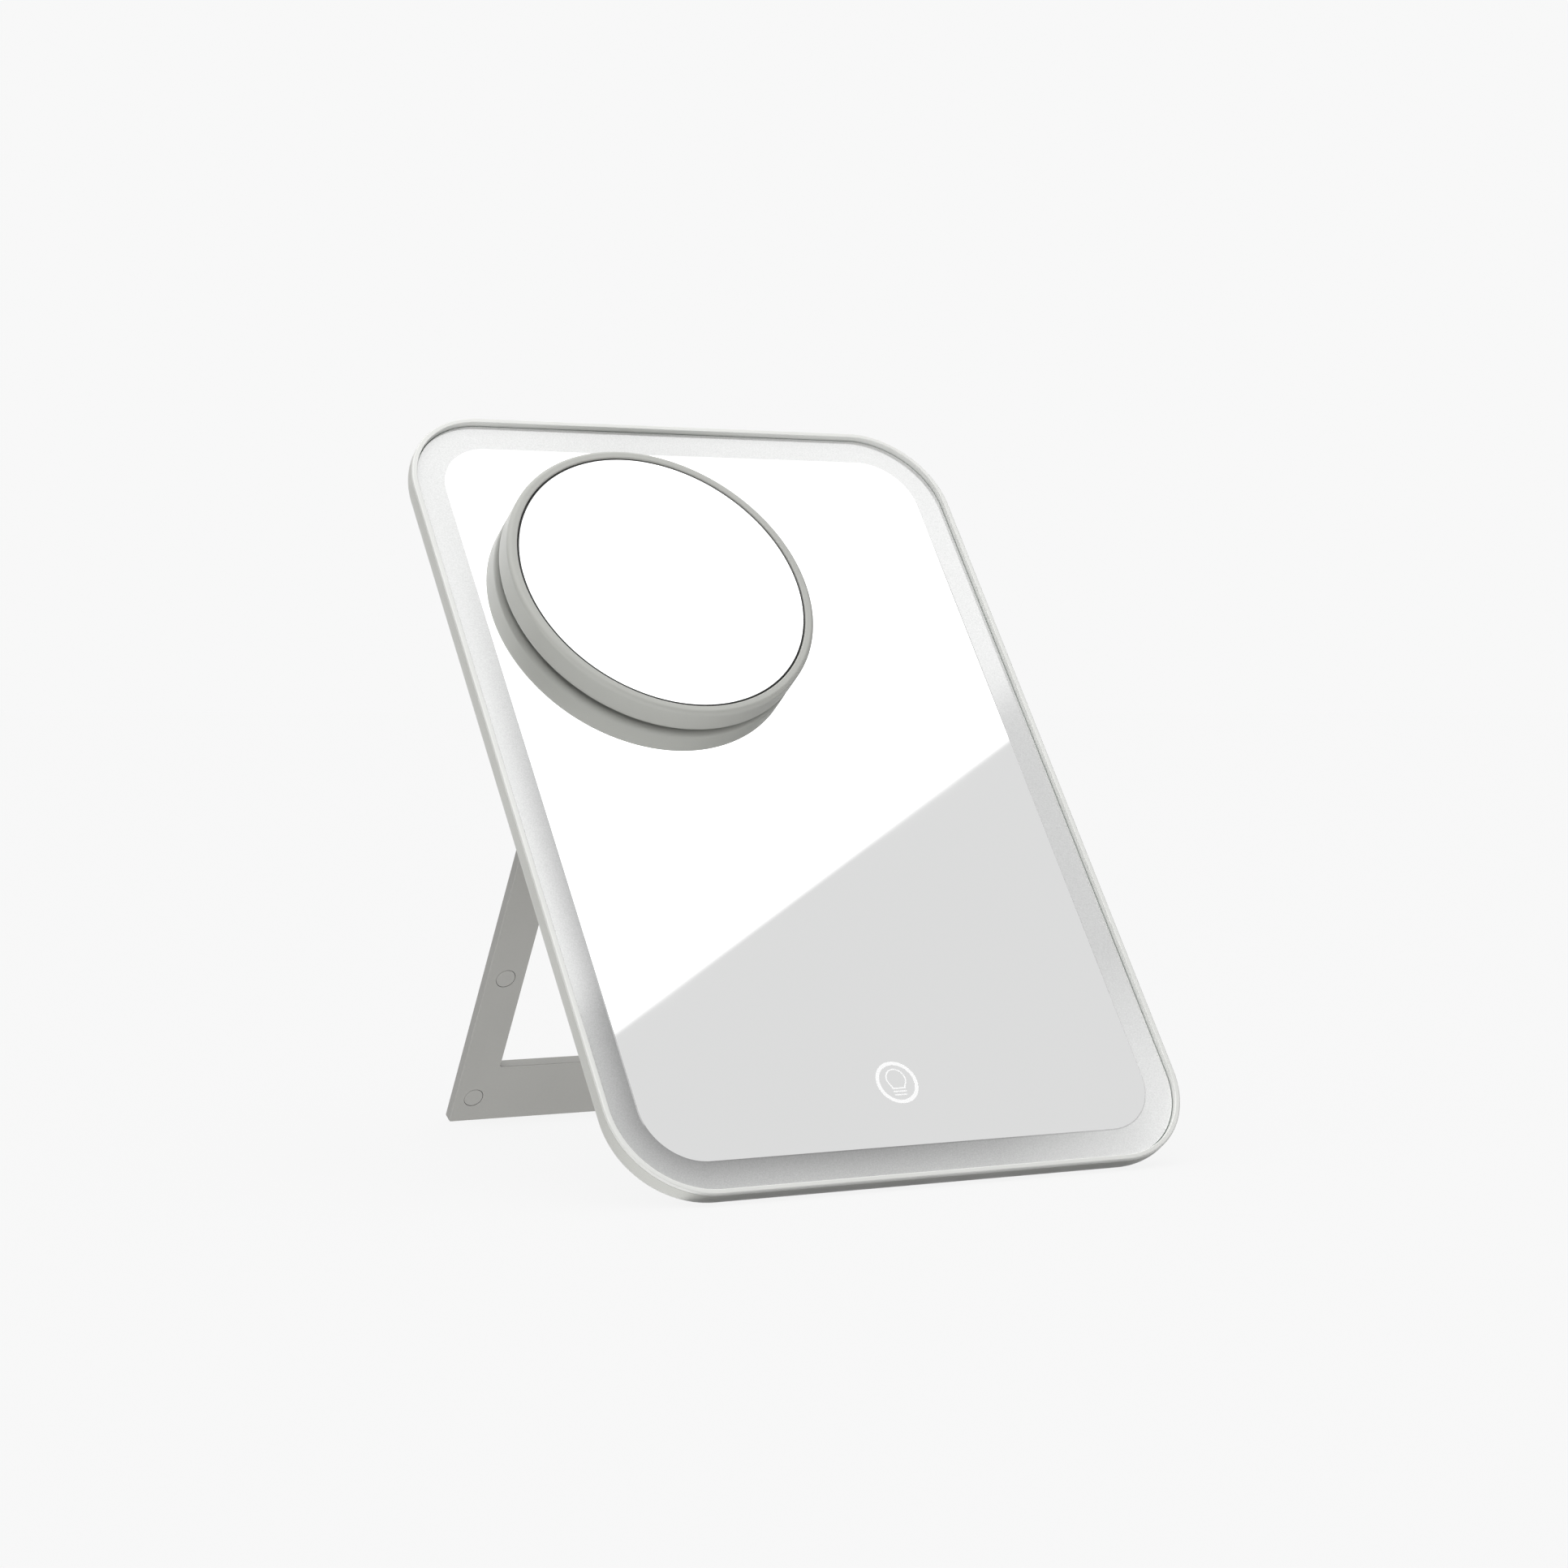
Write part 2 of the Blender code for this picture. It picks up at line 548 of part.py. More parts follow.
def make_control_board(parent):
    (width, height), (centre_x, centre_y) = BOARD_SIZE, BOARD_CENTRE
    left, right = centre_x - width / 2, centre_x + width / 2
    low, high = centre_y - height / 2, centre_y + height / 2
    notch_x = SOCKET_MOUTH_X - SOCKET_LENGTH - THIN_GAP
    notch_half = SOCKET_SIZE[0] / 2 + THIN_GAP
    outline = [(left, low), (right, low), (right, PORT_Y - notch_half), (notch_x, PORT_Y - notch_half),
               (notch_x, PORT_Y + notch_half), (right, PORT_Y + notch_half), (right, high), (left, high)]
    board = prism("control_board", outline, BOARD_Z, "circuit_board", parent)
    hole_z = (BOARD_Z[0] - 1 * MM, BOARD_Z[1] + 1 * MM)
    for index, (x, y) in enumerate(BOARD_SCREWS, start=1):
        hole = prism(f"cut_board_hole_{index}", circle(SCREW_HOLE_RADIUS), hole_z, "steel", parent, (x, y, 0))
        boolean(board, hole)

    seat = BOARD_Z[1] + THIN_GAP
    for name, ((x, y), (chip_width, chip_height)) in CHIPS.items():
        block(name, (x - chip_width / 2, x + chip_width / 2), (y - chip_height / 2, y + chip_height / 2),
              (seat, seat + CHIP_THICK), "wire_black", parent, corner=CHIP_CORNER)

    head_radius, crown_radius = SCREW_HEAD_RADII
    head_height, crown_height = SCREW_HEAD_HEIGHTS
    screw_section = ((SCREW_RADIUS, DEEP_FLOOR_Z - 0.1 * MM), (SCREW_RADIUS, seat), (head_radius, seat),
                     (head_radius, seat + head_height), (crown_radius, seat + crown_height))
    for index, (x, y) in enumerate(BOARD_SCREWS, start=1):
        loops = [at_height(circle(radius, 16), z) for radius, z in screw_section]
        skin(f"board_screw_{index}", loops, "steel", parent, (x, y, 0))


def make_usb_socket(parent):
    """A receptacle shell, open at its mouth, with the contact tongue standing inside."""
    width, height = SOCKET_SIZE
    x_range, y_range = (-height / 2, height / 2), (-width / 2, width / 2)
    outer = rounded_rectangle(x_range, y_range, PORT_CORNER, segments=4)
    inner = rounded_rectangle(x_range, y_range, PORT_CORNER, SOCKET_WALL, 4)
    loops = [at_height(inner, SOCKET_FLOOR), at_height(inner, SOCKET_LENGTH),
             at_height(outer, SOCKET_LENGTH), at_height(outer, 0)]
    place = (SOCKET_MOUTH_X - SOCKET_LENGTH, PORT_Y, PORT_Z)
    socket = skin("usb_socket", loops, "steel", parent, place)
    thin, wide = TONGUE_HALF
    tongue_outline = rounded_rectangle((-thin, thin), (-wide, wide), 0.2 * MM, segments=2)
    tongue_z = (SOCKET_FLOOR / 2, TONGUE_REACH)
    tongue = prism("join_tongue", tongue_outline, tongue_z, "steel", parent, place)
    for piece in (socket, tongue):
        piece.rotation_euler = (0, math.pi / 2, 0)
    boolean(socket, tongue, "UNION")


def make_plates(parent):
    """Thin pieces that lie against the back of the glass, and the steel that the stand's magnets pull on."""
    top = -GLASS_THICK - THIN_GAP
    half = MAGNET_PLATE_HALF
    block("magnet_plate", (MAGNIFIER_X - half, MAGNIFIER_X + half), (MAGNIFIER_Y - half, MAGNIFIER_Y + half),
          (top - PLATE_THICK, top), "steel", parent, corner=6 * MM)
    half_width, half_height = TOUCH_BOARD_HALF
    block("touch_board", (-half_width, half_width), (TOUCH_HEIGHT - half_height, TOUCH_HEIGHT + half_height),
          (top - PLATE_THICK, top), "circuit_board", parent, corner=1.5 * MM)
    keeper_z = (FLOOR_Z + THIN_GAP, FLOOR_Z + THIN_GAP + KEEPER_THICK)
    for side, sign in (("left", -1), ("right", 1)):
        centre = sign * (STAND_WIDTH - STAND_LEG) / 2
        x_range = (centre - KEEPER_HALF_WIDTH, centre + KEEPER_HALF_WIDTH)
        block("stand_keeper_" + side, x_range, KEEPER_Y, keeper_z, "steel", parent)


# Stand


def make_stand(body):
    pivot = empty("stand_pivot", body, (0, HINGE_HEIGHT, HINGE_Z), STAND_OPEN)
    half = STAND_THICK / 2
    foot = -stand_length()
    outer_x = (-STAND_WIDTH / 2, STAND_WIDTH / 2)
    inner_x = (outer_x[0] + STAND_LEG, outer_x[1] - STAND_LEG)
    inner_y = (foot + STAND_BAR, -STAND_TOP_BAR)

    def outer(top, inset, z):
        return at_height(rounded_rectangle(outer_x, (foot, top), STAND_FOOT_CORNER, inset, 6), z)

    def inner(inset, z):
        return at_height(rounded_rectangle(inner_x, inner_y, STAND_WINDOW_CORNER, -inset, 6), z)

    edge = STAND_EDGE
    inner_edge = STAND_EDGE / 2
    heel = heel_reach()
    loops = [outer(heel + edge, edge, -half), outer(heel, 0, edge - half), outer(0, 0, half - edge),
             outer(0, edge, half), inner(inner_edge, half), inner(0, half - inner_edge),
             inner(0, inner_edge - half), inner(inner_edge, -half)]
    frame = skin("stand_frame", loops, "stand_plastic", pivot, ring=True)

    for side, sign in (("left", -1), ("right", 1)):
        bore = prism("cut_stand_bore_" + side, circle(PIN_RADIUS + PIN_CLEARANCE),
                     (-PIN_LENGTH * 0.55, PIN_LENGTH * 0.55), "steel", pivot, (sign * STAND_WIDTH / 2, 0, 0))
        bore.rotation_euler = (0, math.pi / 2, 0)
        boolean(frame, bore)
        for level, from_foot in SOCKETS_FROM_FOOT.items():
            place = (sign * (STAND_WIDTH - STAND_LEG) / 2, foot + from_foot, 0)
            socket_z = (half - SOCKET_DEPTH, half + SOCKET_DEPTH)
            name = side + "_" + level
            socket = prism("cut_socket_" + name, circle(SOCKET_RADIUS), socket_z, "steel", pivot, place)
            boolean(frame, socket)
            disc("stand_cap_" + name, CAP_RADIUS, (half - CAP_THICK, half), "stand_plastic", pivot, place)
            magnet_top = half - CAP_THICK - THIN_GAP / 2
            disc("stand_magnet_" + name, STAND_MAGNET_RADIUS, (magnet_top - STAND_MAGNET_THICK, magnet_top),
                 "magnet_nickel", pivot, place)


def make_hinge_pins(parent):
    for side, sign in (("left", -1), ("right", 1)):
        pin = disc("hinge_pin_" + side, PIN_RADIUS, (-PIN_LENGTH / 2, PIN_LENGTH / 2), "steel", parent,
                   (sign * STAND_WIDTH / 2, HINGE_HEIGHT, HINGE_Z))
        pin.rotation_euler = (0, math.pi / 2, 0)


# Magnifier


def make_magnifier_case(seat):
    floor_low, floor_high = MAGNIFIER_FLOOR
    pocket = MAGNIFIER_RADIUS - MAGNIFIER_LIP
    lip_round = arc((MAGNIFIER_RADIUS - MAGNIFIER_LIP_ROUND, MAGNIFIER_FRONT - MAGNIFIER_LIP_ROUND),
                    MAGNIFIER_LIP_ROUND, 90, 0, 5)
    back_round = arc((MAGNIFIER_RADIUS - MAGNIFIER_BACK_ROUND, MAGNIFIER_BACK + MAGNIFIER_BACK_ROUND),
                     MAGNIFIER_BACK_ROUND, 0, -90, 4)
    cover_seat = pocket + MAGNIFIER_COVER_STEP
    section = [(pocket, floor_high), (pocket, MAGNIFIER_FRONT - MAGNIFIER_INNER_EDGE),
               (pocket + MAGNIFIER_INNER_EDGE, MAGNIFIER_FRONT)] + lip_round + back_round
    section += [(cover_seat, MAGNIFIER_BACK), (cover_seat, floor_low)]
    case = turned("magnifier_case", section, "body_plastic", seat)
    for index in range(MAGNET_COUNT):
        angle = math.radians(45 + index * 360 / MAGNET_COUNT)
        place = (MAGNET_CIRCLE * math.cos(angle), MAGNET_CIRCLE * math.sin(angle), 0)
        pocket_z = (floor_low - 1 * MM, floor_low + MAGNET_THICK + 2 * THIN_GAP)
        cutter = prism(f"cut_magnet_pocket_{index + 1}", circle(MAGNET_RADIUS + THIN_GAP), pocket_z, "steel",
                       seat, place)
        boolean(case, cutter)
        magnet_low = floor_low + THIN_GAP
        disc(f"magnifier_magnet_{index + 1}", MAGNET_RADIUS, (magnet_low, magnet_low + MAGNET_THICK),
             "magnet_nickel", seat, place)


def make_magnifier_glass(seat):
    """A spherical dish of constant thickness, silvered on its back."""
    ring_step = MAGNIFIER_GLASS_RADIUS / MAGNIFIER_GLASS_RINGS
    rings = [ring_step * index for index in range(1, MAGNIFIER_GLASS_RINGS + 1)]
    rim_front = MAGNIFIER_FRONT - MAGNIFIER_GLASS_RECESS

    def front(radius):
        rise = MAGNIFIER_GLASS_RADIUS ** 2 - radius ** 2
        return rim_front - rise / (2 * MAGNIFIER_CURVE_RADIUS)

    section = [(radius, front(radius)) for radius in rings]
    section += [(radius, front(radius) - MAGNIFIER_GLASS_THICK) for radius in reversed(rings)]
    turned("magnifier_glass", section, "mirror_glass", seat)
    centre_back = front(0) - MAGNIFIER_GLASS_THICK
    foam_z = (MAGNIFIER_FLOOR[1] + THIN_GAP, centre_back - THIN_GAP)
    foam_section = [(MAGNIFIER_FOAM_RADIUS, z) for z in foam_z]
    turned("magnifier_foam", foam_section, "foam", seat, HIDDEN_SEGMENTS)


def make_magnifier_back(seat):
    cover_radius = MAGNIFIER_RADIUS - MAGNIFIER_LIP + MAGNIFIER_COVER_STEP - FIT_GAP
    cover_z = (MAGNIFIER_COVER_LOW, MAGNIFIER_FLOOR[0] - THIN_GAP)
    turned("magnifier_back_cover", [(cover_radius, z) for z in cover_z], "body_plastic", seat)
    pad_low, pad_high = FIT_GAP, MAGNIFIER_COVER_LOW - THIN_GAP
    inner, outer = MAGNIFIER_PAD_RADII
    section = ((outer, pad_low), (outer, pad_high), (inner, pad_high), (inner, pad_low))
    turned("magnifier_pad", section, "silicone", seat, HIDDEN_SEGMENTS, ring=True)


def set_on_ground(root):
    """Move the whole object so that its lowest point is at z = 0 and its footprint is centred."""
    bpy.context.view_layer.update()
    corners = []
    for made in bpy.data.objects:
        if made.type == "EMPTY" or made.hide_render:
            continue
        evaluated = made.evaluated_get(bpy.context.evaluated_depsgraph_get())
        mesh = evaluated.to_mesh()
        corners += [made.matrix_world @ vertex.co for vertex in mesh.vertices]
        evaluated.to_mesh_clear()
    low = Vector(min(corner[axis] for corner in corners) for axis in range(3))
    high = Vector(max(corner[axis] for corner in corners) for axis in range(3))
    root.location = (-(low.x + high.x) / 2, -(low.y + high.y) / 2, -low.z)


def main():
    clear_scene()
    body = empty("leaning_body", tilt=math.pi / 2 - LEAN)
    make_rear_housing(body)
    make_front_frame(body)
    make_mirror_glass(body)
    make_lighting(body)
    make_battery(body)
    make_control_board(body)
    make_usb_socket(body)
    make_plates(body)
    for name, (material_name, route) in WIRES.items():
        wire(name, route, material_name, body)
    make_hinge_pins(body)
    make_stand(body)
    seat = empty("magnifier_seat", body, (MAGNIFIER_X, MAGNIFIER_Y, 0))
    make_magnifier_case(seat)
    make_magnifier_glass(seat)
    make_magnifier_back(seat)
    set_on_ground(body)


main()
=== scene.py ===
"""Looks of the lighted table mirror: fine shells, glass with its light band, materials, light and camera.

Pieces are drawn flat in one of three local frames and then carried into place by that frame's matrix:
the mirror's (x to the right, y up the glass, z out of the glass, z = 0 on its front), the magnifier's
(the same directions, on the magnifier's axis) and the stand's (y up the leg from the foot to the hinge).
"""
import json
import math

import bmesh
import bpy
from mathutils import Matrix, Vector
from mathutils.geometry import delaunay_2d_cdt


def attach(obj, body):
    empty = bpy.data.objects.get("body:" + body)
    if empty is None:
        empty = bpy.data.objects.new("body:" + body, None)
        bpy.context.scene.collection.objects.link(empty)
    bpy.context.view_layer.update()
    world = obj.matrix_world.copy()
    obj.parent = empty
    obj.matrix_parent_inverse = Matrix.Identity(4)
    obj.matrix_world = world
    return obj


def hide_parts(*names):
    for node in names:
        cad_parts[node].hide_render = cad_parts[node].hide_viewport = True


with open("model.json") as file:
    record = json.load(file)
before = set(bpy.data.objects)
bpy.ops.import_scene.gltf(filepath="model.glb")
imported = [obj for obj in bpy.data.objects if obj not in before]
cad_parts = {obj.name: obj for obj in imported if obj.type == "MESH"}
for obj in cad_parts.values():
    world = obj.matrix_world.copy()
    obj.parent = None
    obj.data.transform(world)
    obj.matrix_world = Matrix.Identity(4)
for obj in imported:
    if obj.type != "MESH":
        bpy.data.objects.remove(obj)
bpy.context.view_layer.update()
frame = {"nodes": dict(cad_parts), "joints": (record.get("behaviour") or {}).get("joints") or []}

MM = 0.001
JOINTS = {joint["name"]: joint for joint in frame["joints"]}

# Directions of the mirror's own frame, from the joints
OUTWARD = Vector(JOINTS["magnifier_pull"]["axis"]).normalized()
ACROSS = Vector(JOINTS["stand_fold"]["axis"]).normalized()
UPWARD = OUTWARD.cross(ACROSS)


def placed(right, up, out, origin):
    """Matrix of a frame with these directions and origin."""
    columns = Matrix((right, up, out)).transposed().to_4x4()
    return Matrix.Translation(origin) @ columns


def extent(node, matrix):
    """Lowest and highest corner of a CAD node in a local frame."""
    inverse = matrix.inverted()
    points = [inverse @ vertex.co for vertex in frame["nodes"][node].data.vertices]
    low = Vector(min(point[axis] for point in points) for axis in range(3))
    high = Vector(max(point[axis] for point in points) for axis in range(3))
    return low, high


def mirror_frame():
    """The mirror's frame: x = 0 on its centreline, y = 0 at its lower edge, z = 0 on the glass."""
    turned_only = placed(ACROSS, UPWARD, OUTWARD, Vector((0, 0, 0)))
    low, high = extent("rear_housing", turned_only)
    glass_front = extent("mirror_glass", turned_only)[1].z
    return placed(ACROSS, UPWARD, OUTWARD, turned_only @ Vector(((low.x + high.x) / 2, low.y, glass_front)))


MIRROR = mirror_frame()
CASE_LOW, CASE_HIGH = extent("magnifier_case", MIRROR)
MAGNIFIER = MIRROR @ Matrix.Translation(((CASE_LOW.x + CASE_HIGH.x) / 2, (CASE_LOW.y + CASE_HIGH.y) / 2, 0))
STAND_OPEN = -math.radians(JOINTS["stand_fold"]["range_deg"][0])
STAND = (Matrix.Translation(JOINTS["stand_fold"]["pos_m"]) @ MIRROR.to_3x3().to_4x4()
         @ Matrix.Rotation(STAND_OPEN, 4, "X"))

# Mirror body
HOUSING_LOW, HOUSING_HIGH = extent("rear_housing", MIRROR)
FRAME_HIGH = extent("front_frame", MIRROR)[1]
GLASS_LOW, GLASS_HIGH = extent("mirror_glass", MIRROR)
BODY_HALF = HOUSING_HIGH.x
BODY_HEIGHT = HOUSING_HIGH.y
BODY_CORNER = 29.3 * MM
BACK_Z = HOUSING_LOW.z
BACK_ROUND = 9.5 * MM
THIN_GAP = 0.15 * MM
PARTING_Z = HOUSING_HIGH.z + THIN_GAP
LIP_TOP = FRAME_HIGH.z
GLASS_BACK = GLASS_LOW.z
GLASS_INSET = BODY_HALF - GLASS_HIGH.x
FIT_GAP = 0.3 * MM
LIP_WIDTH = GLASS_INSET - THIN_GAP
LIP_ROUND = 0.5 * MM
LIP_INNER_ROUND = 0.25 * MM
PARTING_HALF_GAP = 0.05 * MM
SKIRT_WIDTH = 0.85 * MM
EDGE_BREAK = 0.15 * MM
PARTING_EDGE = 0.08 * MM
CORNER_STEPS = 28

# What is drawn on the glass
BAND_INNER_INSET = 11.1 * MM
BAND_RECESS = 0.06 * MM
BAND_BEVEL = 0.4 * MM
BAND_ROWS = 10
TOUCH_CENTRE = Vector((0, 32.4)) * MM
TOUCH_RING = (7.05 * MM, 5.85 * MM)
BULB_RADIUS = 3.2 * MM
BULB_CENTRE_Y = 1.2 * MM
BULB_NECK_HALF = 2.0 * MM
BULB_NECK_Y = -1.95 * MM
BULB_NECK_ANGLE = 38
BULB_STROKE = 0.42 * MM
BASE_LINES = ((-3.0 * MM, 2.35 * MM), (-4.1 * MM, 2.15 * MM))

# Rear housing, inside and behind
CAVITY = ((0.7 * MM, LIP_TOP), (0.7 * MM, -3.0 * MM), (2.9 * MM, -3.0 * MM), (2.9 * MM, -4.9 * MM))
FLOOR_Z = CAVITY[-1][1]
DEEP_FLOOR_Z = -8.6 * MM
BAY_INSET = 7.0 * MM
BAY_CORNER = 2.0 * MM
WALL = 1.3 * MM
SIDE_BAY_WIDTH = 26.0 * MM
SIDE_BAY_LOW = 30.0 * MM
HINGE_BLOCK_HALF = 7.5 * MM
RECESS_GAP = 0.5 * MM
NOTCH_WIDTH = 24.0 * MM
NOTCH_REACH = 3.6 * MM
NOTCH_DEPTH = 2.7 * MM
NOTCH_CORNER = 3.0 * MM
MOULD_EDGE = 0.35 * MM
BOSS_RADIUS = 2.2 * MM
PILOT_RADIUS = 1.1 * MM
PILOT_EXTRA = 0.4 * MM
BOSS_ROOT = 0.2 * MM
PORT_CLEARANCE = (0.25 * MM, 0.2 * MM)
PORT_CORNER = 1.4 * MM
PORT_LENGTH = 10.0 * MM
CUT_MARGIN = 1.0 * MM

# Stand
STAND_LOW, STAND_HIGH = extent("stand_frame", STAND)
STAND_HALF = STAND_HIGH.x
STAND_THICK = STAND_HIGH.z - STAND_LOW.z
STAND_LEG = 13.5 * MM
STAND_BAR = 22.1 * MM
STAND_TOP_BAR = 12.5 * MM
STAND_CORNER = 0.9 * MM
STAND_WINDOW_CORNER = 0.8 * MM
STAND_EDGE = 0.4 * MM
SOCKET_RADIUS = 3.4 * MM
SOCKET_DEPTH = 2.8 * MM
PIN_LOW, PIN_HIGH = extent("hinge_pin_left", MIRROR)
PIN_CLEARANCE = 0.25 * MM
PIN_BORE = (PIN_HIGH.y - PIN_LOW.y) / 2 + PIN_CLEARANCE
HINGE = (PIN_LOW + PIN_HIGH) / 2
BORE_LENGTH = 11.0 * MM
ONTO_X = Matrix.Rotation(math.pi / 2, 4, "Y")

# Magnifier
CASE_RADIUS = (CASE_HIGH.x - CASE_LOW.x) / 2
CASE_BACK, CASE_FRONT = CASE_LOW.z, CASE_HIGH.z
CASE_LIP_ROUND = 1.6 * MM
CASE_INNER_ROUND = 0.4 * MM
CASE_BACK_ROUND = 2.1 * MM
CASE_FLOOR = (2.2 * MM, 5.0 * MM)
DISH_LOW, DISH_HIGH = extent("magnifier_glass", MAGNIFIER)
DISH_RADIUS = DISH_HIGH.x
POCKET_RADIUS = DISH_RADIUS + FIT_GAP
COVER_SEAT = extent("magnifier_back_cover", MAGNIFIER)[1].x + FIT_GAP
DISH_CURVE = 600.0 * MM
DISH_THICK = 2.2 * MM
DISH_CHAMFER = (0.40 * MM, 0.20 * MM)
DISH_RINGS = 16
COVER_EDGE = 0.2 * MM
PAD_EDGE = 0.12 * MM
PAD_HOLE = 16.0 * MM
ROUND_STEPS = 144


# Outlines and sections


def rounded_rectangle(x_range, y_range, radius, inset=0.0, steps=8):
    """Outline of a rectangle with round corners, drawn inset from its nominal edge."""
    radius = max(radius - inset, EDGE_BREAK)
    left, right = x_range[0] + inset + radius, x_range[1] - inset - radius
    low, high = y_range[0] + inset + radius, y_range[1] - inset - radius
    outline = []
    corners = ((right, low), (right, high), (left, high), (left, low))
    for centre, start in zip(corners, (-90, 0, 90, 180)):
        outline += arc(centre, radius, start, start + 90, steps)
    return outline


def arc(centre, radius, start, end, steps):
    """Points on an arc, angles in degrees."""
    points = []
    for step in range(steps + 1):
        angle = math.radians(start + (end - start) * step / steps)
        points.append((centre[0] + radius * math.cos(angle), centre[1] + radius * math.sin(angle)))
    return points


def circle(radius, steps=48):
    return arc((0, 0), radius, 0, 360 - 360 / steps, steps - 1)


def body_outline(inset):
    """The body's outline, with the corners' steps."""
    return rounded_rectangle((-BODY_HALF, BODY_HALF), (0, BODY_HEIGHT), BODY_CORNER, inset, CORNER_STEPS)


def at_height(outline, z):
    return [(x, y, z) for x, y in outline]


# Meshes


def new_object(name, bm, matrix, material, sharp=32):
    """Turn a bmesh into an object in the row frame, smooth but for edges sharper than the given angle."""
    bmesh.ops.recalc_face_normals(bm, faces=bm.faces)
    mesh = bpy.data.meshes.new(name)
    bm.to_mesh(mesh)
    bm.free()
    mesh.transform(matrix)
    mesh.shade_smooth()
    mesh.set_sharp_from_angle(angle=math.radians(sharp))
    if material:
        mesh.materials.append(material)
    made = bpy.data.objects.new(name, mesh)
    bpy.context.collection.objects.link(made)
    return made


def lofted(loops, ring=False):
    """A closed bmesh through loops of equal length: a ring, or a body capped at both ends."""
    bm = bmesh.new()
    rows = [[bm.verts.new(point) for point in loop] for loop in loops]
    pairs = list(zip(rows, rows[1:]))
    if ring:
        pairs.append((rows[-1], rows[0]))
    else:
        bm.faces.new(rows[0])
        bm.faces.new(rows[-1])
    for row, next_row in pairs:
        for index in range(len(row)):
            after = (index + 1) % len(row)
            bm.faces.new((row[index], row[after], next_row[after], next_row[index]))
    return bm


def swept(section, ring=False):
    """Sweep a section, given as (inset, z) points, round the body's outline."""
    return lofted([at_height(body_outline(inset), z) for inset, z in section], ring)


def turned(section, ring=False, steps=ROUND_STEPS):
    """Turn a section, given as (radius, z) points, about the z axis."""
    return lofted([at_height(circle(radius, steps), z) for radius, z in section], ring)


def prism(outline, low, high):
    return lofted([at_height(outline, low), at_height(outline, high)])


def shifted(bm, place, turn=None):
    """Move a bmesh, after turning it if a rotation is given."""
    if turn:
        bm.transform(turn)
    bm.transform(Matrix.Translation(place))
    return bm


def cut(target, cutters, matrix, operation="DIFFERENCE"):
    """Cut bmesh bodies out of an object, or join them to it, and leave a plain mesh."""
    tools = []
    for index, bm in enumerate(cutters):
        tool = new_object(f"tool_{index}", bm, matrix, None)
        modifier = target.modifiers.new(tool.name, "BOOLEAN")
        modifier.object = tool
        modifier.operation = operation
        modifier.solver = "EXACT"
        tools.append(tool)
    materials = list(target.data.materials)
    evaluated = target.evaluated_get(bpy.context.evaluated_depsgraph_get())
    mesh = bpy.data.meshes.new_from_object(evaluated)
    mesh.name = target.name
    target.modifiers.clear()
    target.data = mesh
    mesh.materials.clear()
    for material in materials:
        mesh.materials.append(material)
    for tool in tools:
        bpy.data.objects.remove(tool, do_unlink=True)


def soften(target, width, matrix, keep, angle=40, segments=2):
    """Round the sharp edges whose ends, seen in the local frame, all pass the keep test."""
    inverse = matrix.inverted()
    bm = bmesh.new()
    bm.from_mesh(target.data)
    bmesh.ops.remove_doubles(bm, verts=bm.verts, dist=0.002 * MM)
    bmesh.ops.dissolve_limit(bm, angle_limit=math.radians(0.5), verts=bm.verts, edges=bm.edges)
    edges = []
    for edge in bm.edges:
        sharp = len(edge.link_faces) == 2 and edge.calc_face_angle(0) > math.radians(angle)
        if sharp and all(keep(inverse @ vertex.co) for vertex in edge.verts):
            edges.append(edge)
    bmesh.ops.bevel(bm, geom=edges, offset=width, segments=segments, profile=0.5, affect="EDGES",
                    clamp_overlap=True)
    bm.to_mesh(target.data)
    bm.free()


def finish_shading(target, sharp=35):
    """Smooth shading whose flat faces stay flat beside small rounded edges."""
    target.data.shade_smooth()
    target.data.set_sharp_from_angle(angle=math.radians(sharp))
    weighted = target.modifiers.new("flat_faces_stay_flat", "WEIGHTED_NORMAL")
    weighted.keep_sharp = True


# Materials

# Painted light: the band's milky tone and its mirror share, from the dim lower left to the bright top right
BAND_PAINTED_LIGHT_TO = (5.3, 2.33, 3.24)
BAND_PAINTED_LIGHT_FROM = (-0.33, 0.42)
BAND_PAINTED_LIGHT_TONE = (0.505, 0.738)
BAND_MIRROR_SHARE = (0.455, 0.318)
# Painted light across the band: factor of the milky tone at the band's inner and at its outer edge, in its
# dim part
BAND_PAINTED_LIGHT_ACROSS = (0.78, 1.36)
# The sandblasted face is turned down a little, and painted light makes it whitest round the lower right
# corner
BAND_LEAN = 0.0075
BAND_PAINTED_LIGHT_CORNER = (0.096, -0.098, 0.004)
BAND_PAINTED_LIGHT_REACH = (0.070, 0.012)
BAND_PAINTED_LIGHT_GAIN = 1.31


